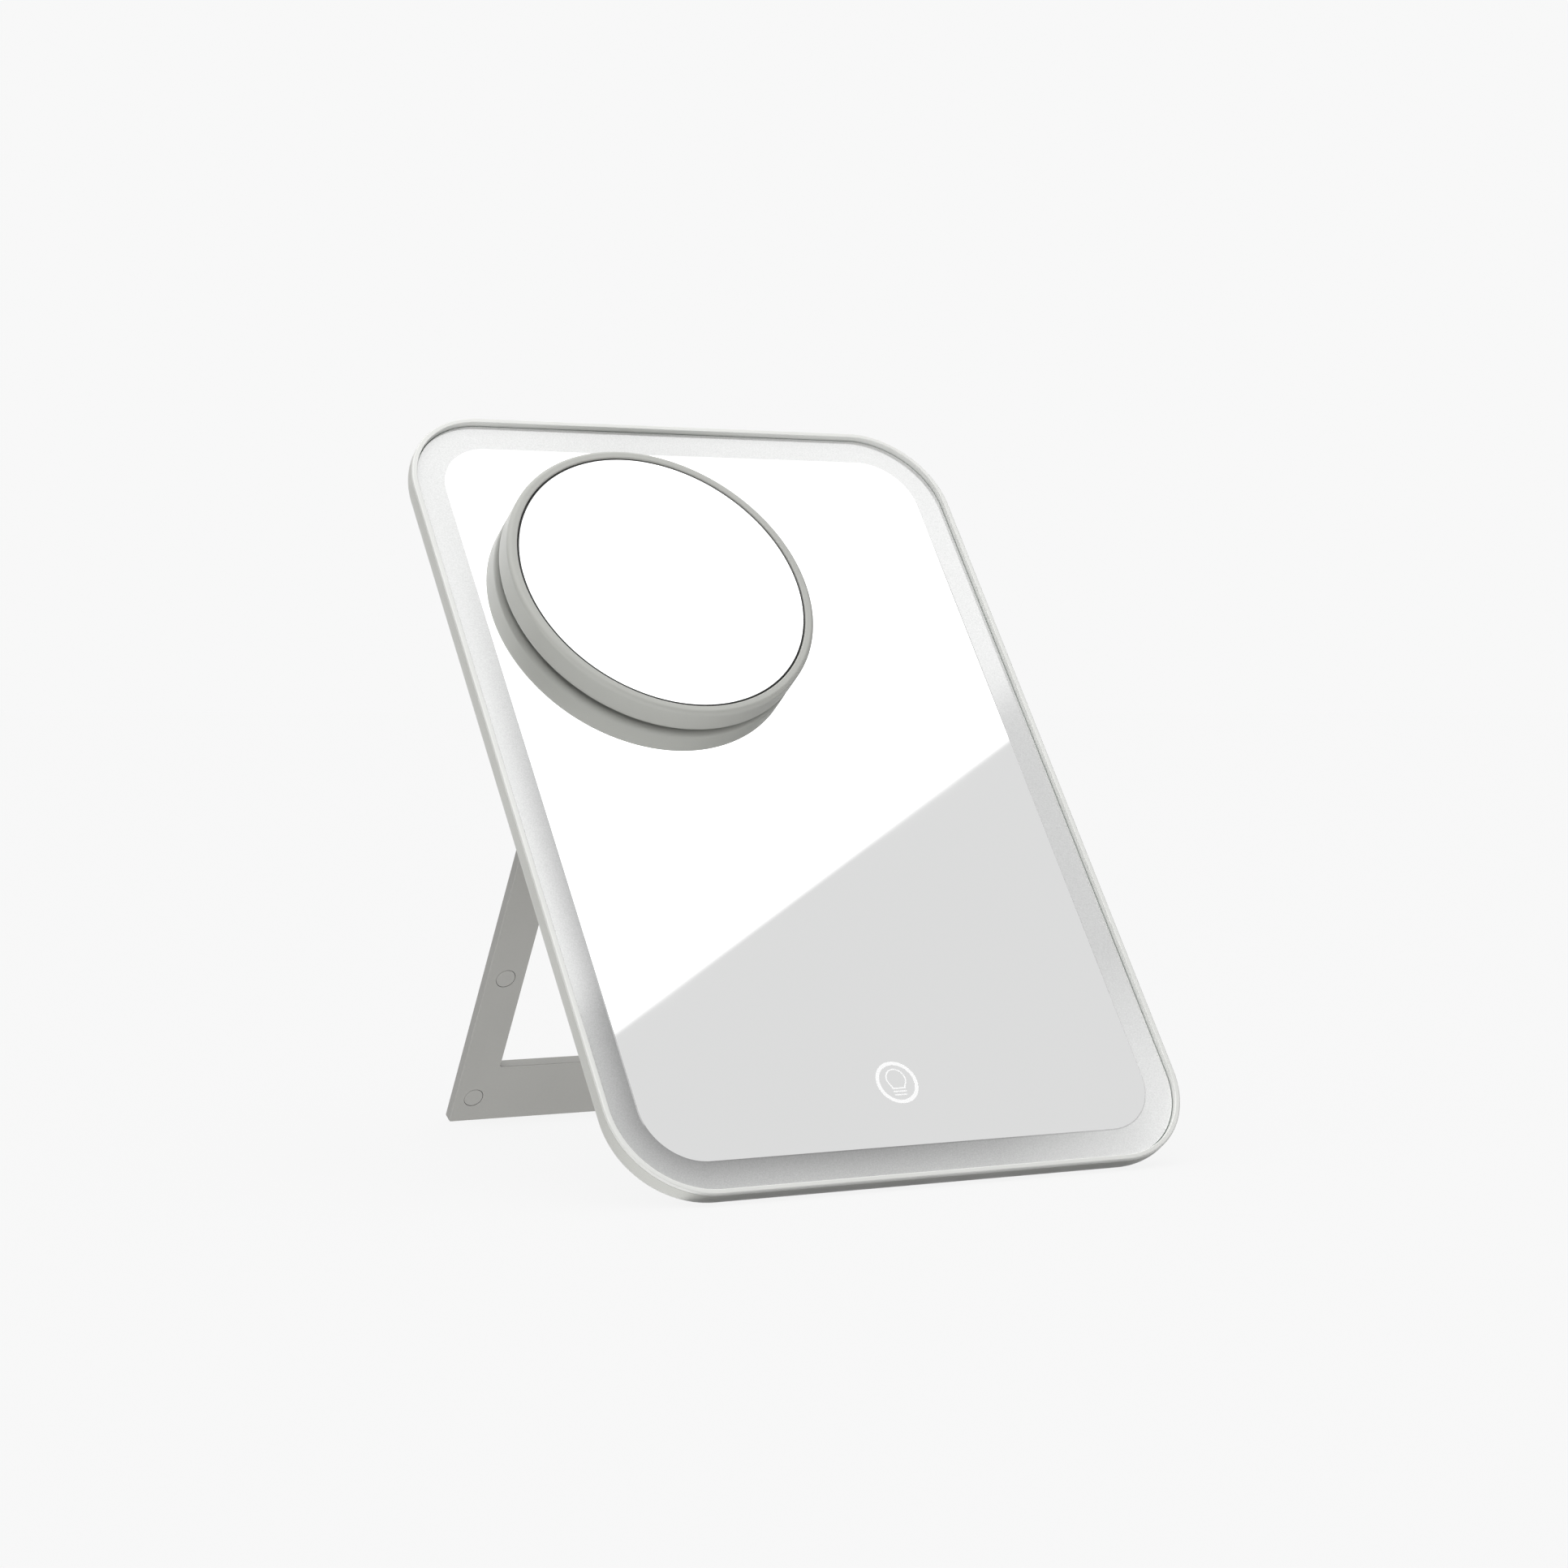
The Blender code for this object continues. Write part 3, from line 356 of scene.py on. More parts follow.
class Graph:
    """A small helper that makes a material's nodes and joins them."""

    def __init__(self, name, colour, roughness, metallic=0.0):
        self.material = bpy.data.materials.new(name)
        self.material.use_nodes = True
        self.tree = self.material.node_tree
        self.shader = self.tree.nodes["Principled BSDF"]
        self.shader.inputs["Base Color"].default_value = (*colour, 1)
        self.shader.inputs["Roughness"].default_value = roughness
        self.shader.inputs["Metallic"].default_value = metallic
        self.colour = colour
        self.place = self.node("ShaderNodeTexCoord").outputs["Object"]

    def node(self, kind, **settings):
        made = self.tree.nodes.new(kind)
        for key, value in settings.items():
            if key in made.inputs:
                made.inputs[key].default_value = value
            else:
                setattr(made, key, value)
        return made

    def join(self, output, target):
        self.tree.links.new(output, target)

    def stretched(self, scale):
        """Coordinates stretched along the axes, for brushed marks."""
        mapping = self.node("ShaderNodeMapping", Scale=scale)
        self.join(self.place, mapping.inputs["Vector"])
        return mapping.outputs["Vector"]

    def noise(self, scale, detail=2.0, vector=None):
        made = self.node("ShaderNodeTexNoise", Scale=scale, Detail=detail)
        self.join(vector or self.place, made.inputs["Vector"])
        return made.outputs["Fac"]

    def spread(self, value, low, high, start=0.3, end=0.7):
        """Map a value from start..end to low..high."""
        made = self.node("ShaderNodeMapRange")
        self.join(value, made.inputs["Value"])
        made.inputs["From Min"].default_value = start
        made.inputs["From Max"].default_value = end
        made.inputs["To Min"].default_value = low
        made.inputs["To Max"].default_value = high
        return made.outputs["Result"]

    def shade(self, colour_output, factor):
        """Multiply a colour, or the material's own colour if none is given, by a grey factor."""
        mix = self.node("ShaderNodeMix", data_type="RGBA", blend_type="MULTIPLY")
        mix.inputs[0].default_value = 1.0
        if colour_output is None:
            mix.inputs[6].default_value = (*self.colour, 1)
        else:
            self.join(colour_output, mix.inputs[6])
        self.join(factor, mix.inputs[7])
        return mix.outputs[2]

    def mix(self, factor, first, second):
        """Blend from the first colour to the second; each is a colour or an output."""
        made = self.node("ShaderNodeMix", data_type="RGBA")
        self.join(factor, made.inputs[0])
        for socket, value in ((made.inputs[6], first), (made.inputs[7], second)):
            if isinstance(value, tuple):
                socket.default_value = (*value, 1)
            else:
                self.join(value, socket)
        return made.outputs[2]

    def set_colour(self, output):
        self.join(output, self.shader.inputs["Base Color"])

    def set_roughness(self, output):
        self.join(output, self.shader.inputs["Roughness"])

    def set_bump(self, height, distance, normal=None):
        bump = self.node("ShaderNodeBump", Strength=1.0, Distance=distance)
        self.join(height, bump.inputs["Height"])
        if normal:
            self.join(normal, bump.inputs["Normal"])
        self.join(bump.outputs["Normal"], self.shader.inputs["Normal"])
        return bump.outputs["Normal"]


def worn_edges(graph, gain):
    """A factor just above one along convex edges, where handling has polished the surface."""
    convex = graph.node("ShaderNodeNewGeometry").outputs["Pointiness"]
    return graph.spread(convex, 1.0, gain, 0.52, 0.60)


def moulded(name, colour, roughness, grain=3200.0, depth=0.006, blotch=0.03):
    """Moulded plastic: fine spark-eroded grain, slow tone drift and slightly polished edges."""
    graph = Graph(name, colour, roughness)
    drift = graph.spread(graph.noise(22.0, 3.0), 1.0 - blotch, 1.0 + blotch)
    tone = graph.shade(None, drift)
    tone = graph.shade(tone, graph.spread(graph.noise(grain * 0.6, 2.0), 0.985, 1.015))
    graph.set_colour(graph.shade(tone, worn_edges(graph, 1.04)))
    graph.set_roughness(graph.spread(graph.noise(60.0, 4.0), roughness - 0.05, roughness + 0.05))
    graph.set_bump(graph.noise(grain, 3.0), depth * MM)
    return graph.material


def brushed(name, colour, roughness, direction, scale=900.0, metallic=1.0, depth=0.004):
    """Metal with fine marks along one direction and a slow change of gloss."""
    graph = Graph(name, colour, roughness, metallic)
    marks = graph.noise(scale, 3.0, graph.stretched(direction))
    graph.set_colour(graph.shade(None, graph.spread(marks, 0.90, 1.05)))
    graph.set_roughness(graph.spread(graph.noise(140.0, 3.0), roughness - 0.06, roughness + 0.08))
    graph.set_bump(marks, depth * MM)
    return graph.material


def soft_grain(name, colour, roughness, scale, depth, blotch=0.06, metallic=0.0):
    """A plain body with a visible grain, for foam, rubber, labels and insulation."""
    graph = Graph(name, colour, roughness, metallic)
    graph.set_colour(graph.shade(None, graph.spread(graph.noise(scale * 0.4, 3.0), 1 - blotch, 1 + blotch)))
    graph.set_roughness(graph.spread(graph.noise(scale * 0.7, 2.0), roughness - 0.06, roughness + 0.05))
    graph.set_bump(graph.noise(scale, 3.0), depth * MM)
    return graph.material


def silvered(name, colour=(0.935, 0.938, 0.936)):
    """Silvered glass: sharp reflections, with faint wipe marks in the gloss."""
    graph = Graph(name, colour, 0.015, 1.0)
    wipes = graph.noise(14.0, 4.0, graph.stretched((1.0, 3.0, 2.0)))
    graph.set_roughness(graph.spread(wipes, 0.008, 0.022))
    graph.set_colour(graph.shade(None, graph.spread(graph.noise(9.0, 2.0), 0.995, 1.0)))
    return graph.material


def ramp_along(graph, direction, start, end):
    """A soft step from zero to one along a direction of the row frame."""
    along = graph.node("ShaderNodeVectorMath", operation="DOT_PRODUCT")
    graph.join(graph.place, along.inputs[0])
    along.inputs[1].default_value = direction
    made = graph.node("ShaderNodeMapRange", interpolation_type="SMOOTHSTEP")
    graph.join(along.outputs["Value"], made.inputs["Value"])
    made.inputs["From Min"].default_value = start
    made.inputs["From Max"].default_value = end
    return made.outputs["Result"]


def frosted(name):
    """Sandblasted band: a blurred reflection over milky white, with painted light that makes it paler
    towards the top right, paler towards its outer edge in its dim part and whitest round the lower right
    corner.
    """
    graph = Graph(name, (1.0, 1.005, 1.0), 0.09, 0.35)
    # Painted light: the band grows paler towards the top right, and its mirror share follows
    paler = ramp_along(graph, BAND_PAINTED_LIGHT_TO, *BAND_PAINTED_LIGHT_FROM)
    across = graph.node("ShaderNodeSeparateXYZ")
    graph.join(graph.node("ShaderNodeTexCoord").outputs["UV"], across.inputs[0])
    tone = graph.shade(None, graph.spread(paler, *BAND_PAINTED_LIGHT_TONE, 0.0, 1.0))
    # Painted light: in its dim part the band is paler towards its outer edge
    lit_outwards = graph.spread(across.outputs["Y"], *BAND_PAINTED_LIGHT_ACROSS, 0.0, 1.0)
    lit_outwards_where_dim = graph.mix(paler, lit_outwards, (1.0, 1.0, 1.0))
    tone = graph.shade(tone, lit_outwards_where_dim)
    # Painted light: the band is whitest round the lower right corner
    reach = graph.node("ShaderNodeVectorMath", operation="DISTANCE")
    graph.join(graph.place, reach.inputs[0])
    reach.inputs[1].default_value = BAND_PAINTED_LIGHT_CORNER
    tone = graph.shade(tone, graph.spread(reach.outputs["Value"], 1.0, BAND_PAINTED_LIGHT_GAIN, *BAND_PAINTED_LIGHT_REACH))
    speckle = graph.noise(2400.0, 2.0)
    graph.set_colour(graph.shade(tone, graph.spread(speckle, 0.92, 1.08)))
    graph.join(graph.spread(paler, *BAND_MIRROR_SHARE, 0.0, 1.0), graph.shader.inputs["Metallic"])
    graph.set_roughness(graph.spread(graph.noise(1500.0, 2.0), 0.058, 0.076))
    lean = graph.node("ShaderNodeVectorMath", operation="DOT_PRODUCT")
    graph.join(graph.place, lean.inputs[0])
    lean.inputs[1].default_value = UPWARD * BAND_LEAN
    leaning = graph.set_bump(lean.outputs["Value"], 1.0)
    graph.set_bump(speckle, 0.0003 * MM, normal=leaning)
    return graph.material


def pearly(name, colour, roughness, sheen):
    """Satin lacquer: moulded plastic with a slight metallic sheen."""
    graph = Graph(name, colour, roughness, sheen)
    tone = graph.shade(None, graph.spread(graph.noise(22.0, 3.0), 0.98, 1.02))
    graph.set_colour(graph.shade(tone, worn_edges(graph, 1.03)))
    graph.set_roughness(graph.spread(graph.noise(60.0, 4.0), roughness - 0.04, roughness + 0.04))
    graph.set_bump(graph.noise(3200.0, 3.0), 0.003 * MM)
    return graph.material


def frosted_mark(name):
    """The sandblasted ring and lamp outline, which glow faintly in standby."""
    graph = Graph(name, (0.93, 0.93, 0.93), 0.5)
    graph.set_colour(graph.shade(None, graph.spread(graph.noise(3600.0, 1.0), 0.97, 1.0)))
    graph.set_roughness(graph.spread(graph.noise(1500.0, 2.0), 0.45, 0.55))
    graph.shader.inputs["Emission Color"].default_value = (1, 1, 1, 1)
    graph.shader.inputs["Emission Strength"].default_value = 0.15
    return graph.material


def solder_resist(name):
    """A circuit board's green lacquer over copper tracks, which show as a paler relief."""
    graph = Graph(name, (0.035, 0.20, 0.10), 0.35)
    cells = graph.node("ShaderNodeTexBrick", Scale=260.0)
    cells.inputs["Mortar Size"].default_value = 0.08
    cells.inputs["Color1"].default_value = (0.03, 0.17, 0.085, 1)
    cells.inputs["Color2"].default_value = (0.035, 0.19, 0.095, 1)
    cells.inputs["Mortar"].default_value = (0.07, 0.34, 0.17, 1)
    graph.join(graph.place, cells.inputs["Vector"])
    graph.set_colour(graph.shade(cells.outputs["Color"], graph.spread(graph.noise(500.0), 0.92, 1.06)))
    graph.set_roughness(graph.spread(graph.noise(300.0, 3.0), 0.28, 0.42))
    graph.set_bump(cells.outputs["Fac"], 0.02 * MM)
    return graph.material


HOUSING_PLASTIC = moulded("satin_housing_plastic", (0.62, 0.625, 0.59), 0.42)
MAGNIFIER_PLASTIC = pearly("pearly_magnifier_plastic", (0.49, 0.495, 0.465), 0.38, 0.06)
LIP_PLASTIC = pearly("pearly_lip_plastic", (0.80, 0.805, 0.78), 0.35, 0.15)
# Painted shade: the stand's plastic is a darker copy of the housing's, for the shade that falls on the
# stand
STAND_PLASTIC_SHADED = moulded("satin_stand_plastic_painted_shade", (0.365, 0.362, 0.345), 0.46)
CAP_PLASTIC = moulded("satin_cap_plastic", (0.37, 0.367, 0.35), 0.40, depth=0.003)
SILVERED = silvered("silvered_glass")
FROSTED = frosted("frosted_band")
FROSTED_MARK = frosted_mark("frosted_mark")
GLASS_EDGE = soft_grain("ground_glass_edge", (0.30, 0.36, 0.33), 0.30, 2600.0, 0.006)
# Painted shade: the magnifier glass's chamfer and edge are near black, for the dark gap between glass and
# lip
DISH_EDGE_PAINTED_SHADE = soft_grain("glass_edge_painted_gap_shade", (0.04, 0.042, 0.04), 0.60, 2600.0, 0.006)
GLASS_BACKING = soft_grain("mirror_backing_paint", (0.32, 0.33, 0.34), 0.55, 900.0, 0.01)
ACRYLIC = soft_grain("light_guide_acrylic", (0.88, 0.91, 0.92), 0.14, 420.0, 0.004, blotch=0.02)
REFLECTOR = soft_grain("white_reflector_sheet", (0.88, 0.88, 0.87), 0.55, 1500.0, 0.005, blotch=0.02)
FLEX = soft_grain("white_flex_circuit", (0.84, 0.82, 0.70), 0.42, 1100.0, 0.006)
FOIL = brushed("battery_pouch_foil", (0.60, 0.61, 0.63), 0.34, (1.0, 0.25, 1.0), 700.0, 0.9, 0.02)
FOAM = soft_grain("black_foam_tape", (0.05, 0.05, 0.05), 0.92, 1800.0, 0.06, blotch=0.25)
RESIST = solder_resist("green_solder_resist")
PACKAGE = soft_grain("black_chip_package", (0.028, 0.028, 0.030), 0.52, 2200.0, 0.008, blotch=0.12)
STEEL = brushed("bright_steel", (0.60, 0.60, 0.59), 0.30, (0.08, 1.0, 1.0))
NICKEL = brushed("nickel_plating", (0.70, 0.68, 0.63), 0.16, (1.0, 1.0, 1.0), 500.0, depth=0.002)
SILICONE = soft_grain("dark_silicone", (0.05, 0.05, 0.05), 0.70, 1500.0, 0.01, blotch=0.08)
RED_WIRE = soft_grain("red_insulation", (0.50, 0.03, 0.025), 0.38, 900.0, 0.004)
BLACK_WIRE = soft_grain("black_insulation", (0.03, 0.03, 0.03), 0.38, 900.0, 0.004)
WHITE_WIRE = soft_grain("white_insulation", (0.78, 0.78, 0.76), 0.38, 900.0, 0.004)

CARRIED_OVER = {
    "light_guide_ring": ACRYLIC, "reflector_ring": REFLECTOR,
    "led_strip_bottom": FLEX, "led_strip_right": FLEX, "led_strip_top": FLEX, "led_strip_left": FLEX,
    "battery_cell": FOIL, "battery_tape": FOAM, "magnifier_foam": FOAM,
    "control_board": RESIST, "touch_board": RESIST,
    "charger_chip": PACKAGE, "touch_chip": PACKAGE, "inductor": PACKAGE,
    "board_screw_1": STEEL, "board_screw_2": STEEL, "usb_socket": STEEL, "magnet_plate": STEEL,
    "stand_keeper_left": STEEL, "stand_keeper_right": STEEL,
    "hinge_pin_left": STEEL, "hinge_pin_right": STEEL,
    "touch_lead": WHITE_WIRE, "battery_lead_positive": RED_WIRE, "battery_lead_negative": BLACK_WIRE,
    "stand_magnet_left_lower": NICKEL, "stand_magnet_left_upper": NICKEL,
    "stand_magnet_right_lower": NICKEL, "stand_magnet_right_upper": NICKEL,
    "magnifier_magnet_1": NICKEL, "magnifier_magnet_2": NICKEL,
    "magnifier_magnet_3": NICKEL, "magnifier_magnet_4": NICKEL,
}


def stand_for(made, node, body):
    """A fine piece takes the place of its CAD node and moves with the node's body."""
    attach(made, body)
    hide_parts(node)
    return made


# Mirror body


def make_front_frame():
    skirt_outer = LIP_WIDTH - SKIRT_WIDTH
    inner_top = (LIP_WIDTH - LIP_INNER_ROUND, LIP_TOP - LIP_INNER_ROUND)
    foot = PARTING_Z + PARTING_HALF_GAP
    section = arc((PARTING_EDGE, foot + PARTING_EDGE), PARTING_EDGE, 270, 180, 3)
    section += arc((LIP_ROUND, LIP_TOP - LIP_ROUND), LIP_ROUND, 180, 90, 8)
    section += arc(inner_top, LIP_INNER_ROUND, 90, 0, 4)
    section += [(LIP_WIDTH, GLASS_BACK), (skirt_outer, GLASS_BACK), (skirt_outer, foot)]
    made = new_object("frame_lip", swept(section, ring=True), MIRROR, LIP_PLASTIC)
    finish_shading(made)
    stand_for(made, "front_frame", "mirror_body")


def recess_outlines():
    """Outer wall and inner island of the channel that takes the folded stand."""
    foot = HINGE.y + STAND_LOW.y
    heel_sweep = math.hypot(STAND_HIGH.y, STAND_THICK / 2)
    outer_x = STAND_HALF + RECESS_GAP
    inner_x = STAND_HALF - STAND_LEG - RECESS_GAP
    outer_y = (foot - RECESS_GAP, HINGE.y + heel_sweep + FIT_GAP)
    inner_y = (foot + STAND_BAR + RECESS_GAP, HINGE.y - STAND_TOP_BAR - RECESS_GAP)
    outer = rounded_rectangle((-outer_x, outer_x), outer_y, STAND_CORNER)
    inner = rounded_rectangle((-inner_x, inner_x), inner_y, STAND_WINDOW_CORNER)
    return outer, inner, outer_y, inner_y


def pin_bores(y, z):
    """Cutters for the two hinge pins, across both sides of the stand."""
    bores = []
    for side in (-1, 1):
        bore = prism(circle(PIN_BORE, 24), -BORE_LENGTH / 2, BORE_LENGTH / 2)
        bores.append(shifted(bore, (side * STAND_HALF, y, z), ONTO_X))
    return bores


def make_rear_housing():
    rim = PARTING_Z - PARTING_HALF_GAP
    section = arc((PARTING_EDGE, rim - PARTING_EDGE), PARTING_EDGE, 90, 180, 3)
    section += arc((BACK_ROUND, BACK_Z + BACK_ROUND), BACK_ROUND, 180, 270, 18)
    made = new_object("housing_shell", swept(section), MIRROR, HOUSING_PLASTIC)

    below = BACK_Z - CUT_MARGIN
    recess_z = HINGE.z + STAND_THICK / 2 + FIT_GAP
    outer, inner, outer_y, inner_y = recess_outlines()
    channel = [at_height(outer, below), at_height(outer, recess_z), at_height(inner, recess_z),
               at_height(inner, below)]
    notch_y = (outer_y[0] - NOTCH_REACH, outer_y[0] + STAND_BAR / 2)
    notch = rounded_rectangle((-NOTCH_WIDTH / 2, NOTCH_WIDTH / 2), notch_y, NOTCH_CORNER)
    cut(made, [lofted(channel, ring=True), prism(notch, below, BACK_Z + NOTCH_DEPTH)], MIRROR)
    soften(made, MOULD_EDGE, MIRROR, lambda place: abs(place.z - BACK_Z) < 0.01 * MM)

    cavity = swept(CAVITY)
    deep = (DEEP_FLOOR_Z, FLOOR_Z + WALL)
    side_outer = BODY_HALF - BAY_INSET
    side_inner = side_outer - SIDE_BAY_WIDTH
    side_y = (SIDE_BAY_LOW, HINGE.y - HINGE_BLOCK_HALF)
    island_x = STAND_HALF - STAND_LEG - RECESS_GAP - WALL
    bays = [((-island_x, island_x), (inner_y[0] + WALL, inner_y[1] - WALL), BAY_CORNER),
            ((side_inner, side_outer), side_y, BAY_CORNER),
            ((-side_outer, -side_inner), side_y, BAY_CORNER),
            ((-side_outer, side_outer), (HINGE.y + HINGE_BLOCK_HALF, BODY_HEIGHT - BAY_INSET),
             BODY_CORNER - BAY_INSET)]
    cutters = [cavity]
    for x_range, y_range, corner in bays:
        cutters.append(prism(rounded_rectangle(x_range, y_range, corner, steps=6), *deep))
    cutters += pin_bores(HINGE.y, HINGE.z)
    cut(made, cutters, MIRROR)

    screws = [extent(f"board_screw_{index}", MIRROR) for index in (1, 2)]
    boss_top = extent("control_board", MIRROR)[0].z - THIN_GAP
    bosses, pilots = [], []
    for low, high in screws:
        centre = ((low.x + high.x) / 2, (low.y + high.y) / 2, 0)
        boss = prism(circle(BOSS_RADIUS, 32), DEEP_FLOOR_Z - BOSS_ROOT, boss_top)
        pilot = prism(circle(PILOT_RADIUS, 24), DEEP_FLOOR_Z - PILOT_EXTRA, FLOOR_Z)
        bosses.append(shifted(boss, centre))
        pilots.append(shifted(pilot, centre))
    cut(made, bosses, MIRROR, "UNION")
    socket_low, socket_high = extent("usb_socket", MIRROR)
    middle = (socket_low + socket_high) / 2
    centre = (side_outer - CUT_MARGIN, middle.y, middle.z)
    half_width = (socket_high.y - socket_low.y) / 2 + PORT_CLEARANCE[0]
    half_height = (socket_high.z - socket_low.z) / 2 + PORT_CLEARANCE[1]
    port = rounded_rectangle((-half_height, half_height), (-half_width, half_width), PORT_CORNER)
    cut(made, pilots + [shifted(prism(port, 0, PORT_LENGTH), centre, ONTO_X)], MIRROR)
    finish_shading(made)
    stand_for(made, "rear_housing", "mirror_body")


def bulb_outline(grow):
    """Lamp outline, grown or shrunk by half the stroke: a globe above a short neck."""
    radius = BULB_RADIUS + grow
    half = BULB_NECK_HALF + grow
    neck_y = BULB_NECK_Y - grow
    outline = arc((0, BULB_CENTRE_Y), radius, -BULB_NECK_ANGLE, 180 + BULB_NECK_ANGLE, 40)
    return outline + [(-half, neck_y), (half, neck_y)]


def glass_marks():
    """Closed outlines of the touch ring, the lamp and its base, each with the mark it bounds."""
    half_stroke = BULB_STROKE / 2
    outlines = [circle(TOUCH_RING[0], 96), circle(TOUCH_RING[1], 96), bulb_outline(half_stroke),
                bulb_outline(-half_stroke)]
    for line_y, half_length in BASE_LINES:
        x_range, y_range = (-half_length, half_length), (line_y - half_stroke, line_y + half_stroke)
        outlines.append(rounded_rectangle(x_range, y_range, half_stroke * 0.9, steps=3))
    return [[(x + TOUCH_CENTRE.x, y + TOUCH_CENTRE.y) for x, y in outline] for outline in outlines]


def is_mark(inside):
    """Whether a face that lies inside these outlines belongs to a frosted mark."""
    ring = 1 in inside and 2 not in inside
    lamp = 3 in inside and 4 not in inside
    base = 5 in inside or 6 in inside
    return ring or lamp or base


def make_mirror_glass():
    """One closed glass: band, raised mirrored area with its marks, ground edge and painted back."""
    band_outer = GLASS_INSET + EDGE_BREAK
    band_step = (BAND_INNER_INSET - band_outer) / BAND_ROWS
    band_insets = [band_outer + band_step * row for row in range(BAND_ROWS + 1)]
    section = [(GLASS_INSET + EDGE_BREAK, GLASS_BACK), (GLASS_INSET, GLASS_BACK + EDGE_BREAK),
               (GLASS_INSET, -EDGE_BREAK)]
    edge_rows = len(section)
    section += [(inset, -BAND_RECESS) for inset in band_insets]
    band_end = len(section) - 1
    area_inset = BAND_INNER_INSET + BAND_BEVEL
    section.append((area_inset, 0))

    bm = bmesh.new()
    across = bm.loops.layers.uv.new("band")
    rows = [[bm.verts.new(point) for point in at_height(body_outline(inset), z)] for inset, z in section]
    backing = bm.faces.new(rows[0])
    backing.material_index = 4
    for row_index, (row, next_row) in enumerate(zip(rows, rows[1:])):
        for index in range(len(row)):
            after = (index + 1) % len(row)
            face = bm.faces.new((row[index], row[after], next_row[after], next_row[index]))
            if row_index < edge_rows:
                face.material_index = 3
            elif row_index <= band_end:
                face.material_index = 1
            for loop in face.loops:
                inner = loop.vert in (next_row[index], next_row[after])
                step = row_index + (1 if inner else 0) - edge_rows
                along = (index + (1 if loop.vert in (row[after], next_row[after]) else 0)) / len(row)
                loop[across].uv = (along, 1 - min(max(step / BAND_ROWS, 0), 1))

    outlines = [body_outline(area_inset)] + glass_marks()
    points, faces = [], []
    for outline in outlines:
        faces.append(list(range(len(points), len(points) + len(outline))))
        points += [Vector(point) for point in outline]
    flat, _, triangles, _, _, sources = delaunay_2d_cdt(points, [], faces, 1, 1e-7)
    placed_verts = [bm.verts.new((point.x, point.y, 0)) for point in flat]
    for triangle, inside in zip(triangles, sources):
        face = bm.faces.new([placed_verts[index] for index in triangle])
        face.material_index = 2 if is_mark(inside) else 0
    bmesh.ops.remove_doubles(bm, verts=bm.verts, dist=0.001 * MM)

    made = new_object("mirror_glass_fine", bm, MIRROR, SILVERED, sharp=3)
    for material in (FROSTED, FROSTED_MARK, GLASS_EDGE, GLASS_BACKING):
        made.data.materials.append(material)
    stand_for(made, "mirror_glass", "mirror_body")


# Stand


def make_stand():
    half = STAND_THICK / 2
    inner_x = STAND_HALF - STAND_LEG
    inner_y = (STAND_LOW.y + STAND_BAR, -STAND_TOP_BAR)

    def outer(top, inset, z):
        x_range, y_range = (-STAND_HALF, STAND_HALF), (STAND_LOW.y, top)
        return at_height(rounded_rectangle(x_range, y_range, STAND_CORNER, inset, 10), z)

    def inner(inset, z):
        x_range = (-inner_x, inner_x)
        return at_height(rounded_rectangle(x_range, inner_y, STAND_WINDOW_CORNER, -inset, 10), z)

    edge = STAND_EDGE
    heel = STAND_HIGH.y
    loops = []
    for inset, z in arc((edge, edge - half), edge, 270, 180, 4):
        loops.append(outer(heel + inset, inset, z))
    for inset, z in arc((edge, half - edge), edge, 180, 90, 4):
        loops.append(outer(0, inset, z))
    inner_edge = edge / 2
    for inset, z in arc((-inner_edge, half - inner_edge), inner_edge, 90, 0, 3):
        loops.append(inner(-inset, z))
    for inset, z in arc((-inner_edge, inner_edge - half), inner_edge, 0, -90, 3):
        loops.append(inner(-inset, z))
    # The stand takes the darker plastic that carries painted shade
    made = new_object("stand_loop", lofted(loops, ring=True), STAND, STAND_PLASTIC_SHADED)

    cutters = pin_bores(0, 0)
    caps = [node for node in frame["nodes"] if node.startswith("stand_cap_")]
    for cap in caps:
        low, high = extent(cap, STAND)
        socket = prism(circle(SOCKET_RADIUS, 64), half - SOCKET_DEPTH, half + CUT_MARGIN)
        cutters.append(shifted(socket, ((low.x + high.x) / 2, (low.y + high.y) / 2, 0)))
    cut(made, cutters, STAND)
    finish_shading(made)
    stand_for(made, "stand_frame", "stand")

    for cap in sorted(caps):
        low, high = extent(cap, STAND)
        radius = (high.x - low.x) / 2
        edge = EDGE_BREAK
        section = [(radius, low.z)] + arc((radius - edge, high.z - edge), edge, 0, 90, 4)
        disc = shifted(turned(section, steps=64), ((low.x + high.x) / 2, (low.y + high.y) / 2, 0))
        piece = new_object("fine_" + cap, disc, STAND, CAP_PLASTIC)
        finish_shading(piece)
        stand_for(piece, cap, "stand")


# Magnifier


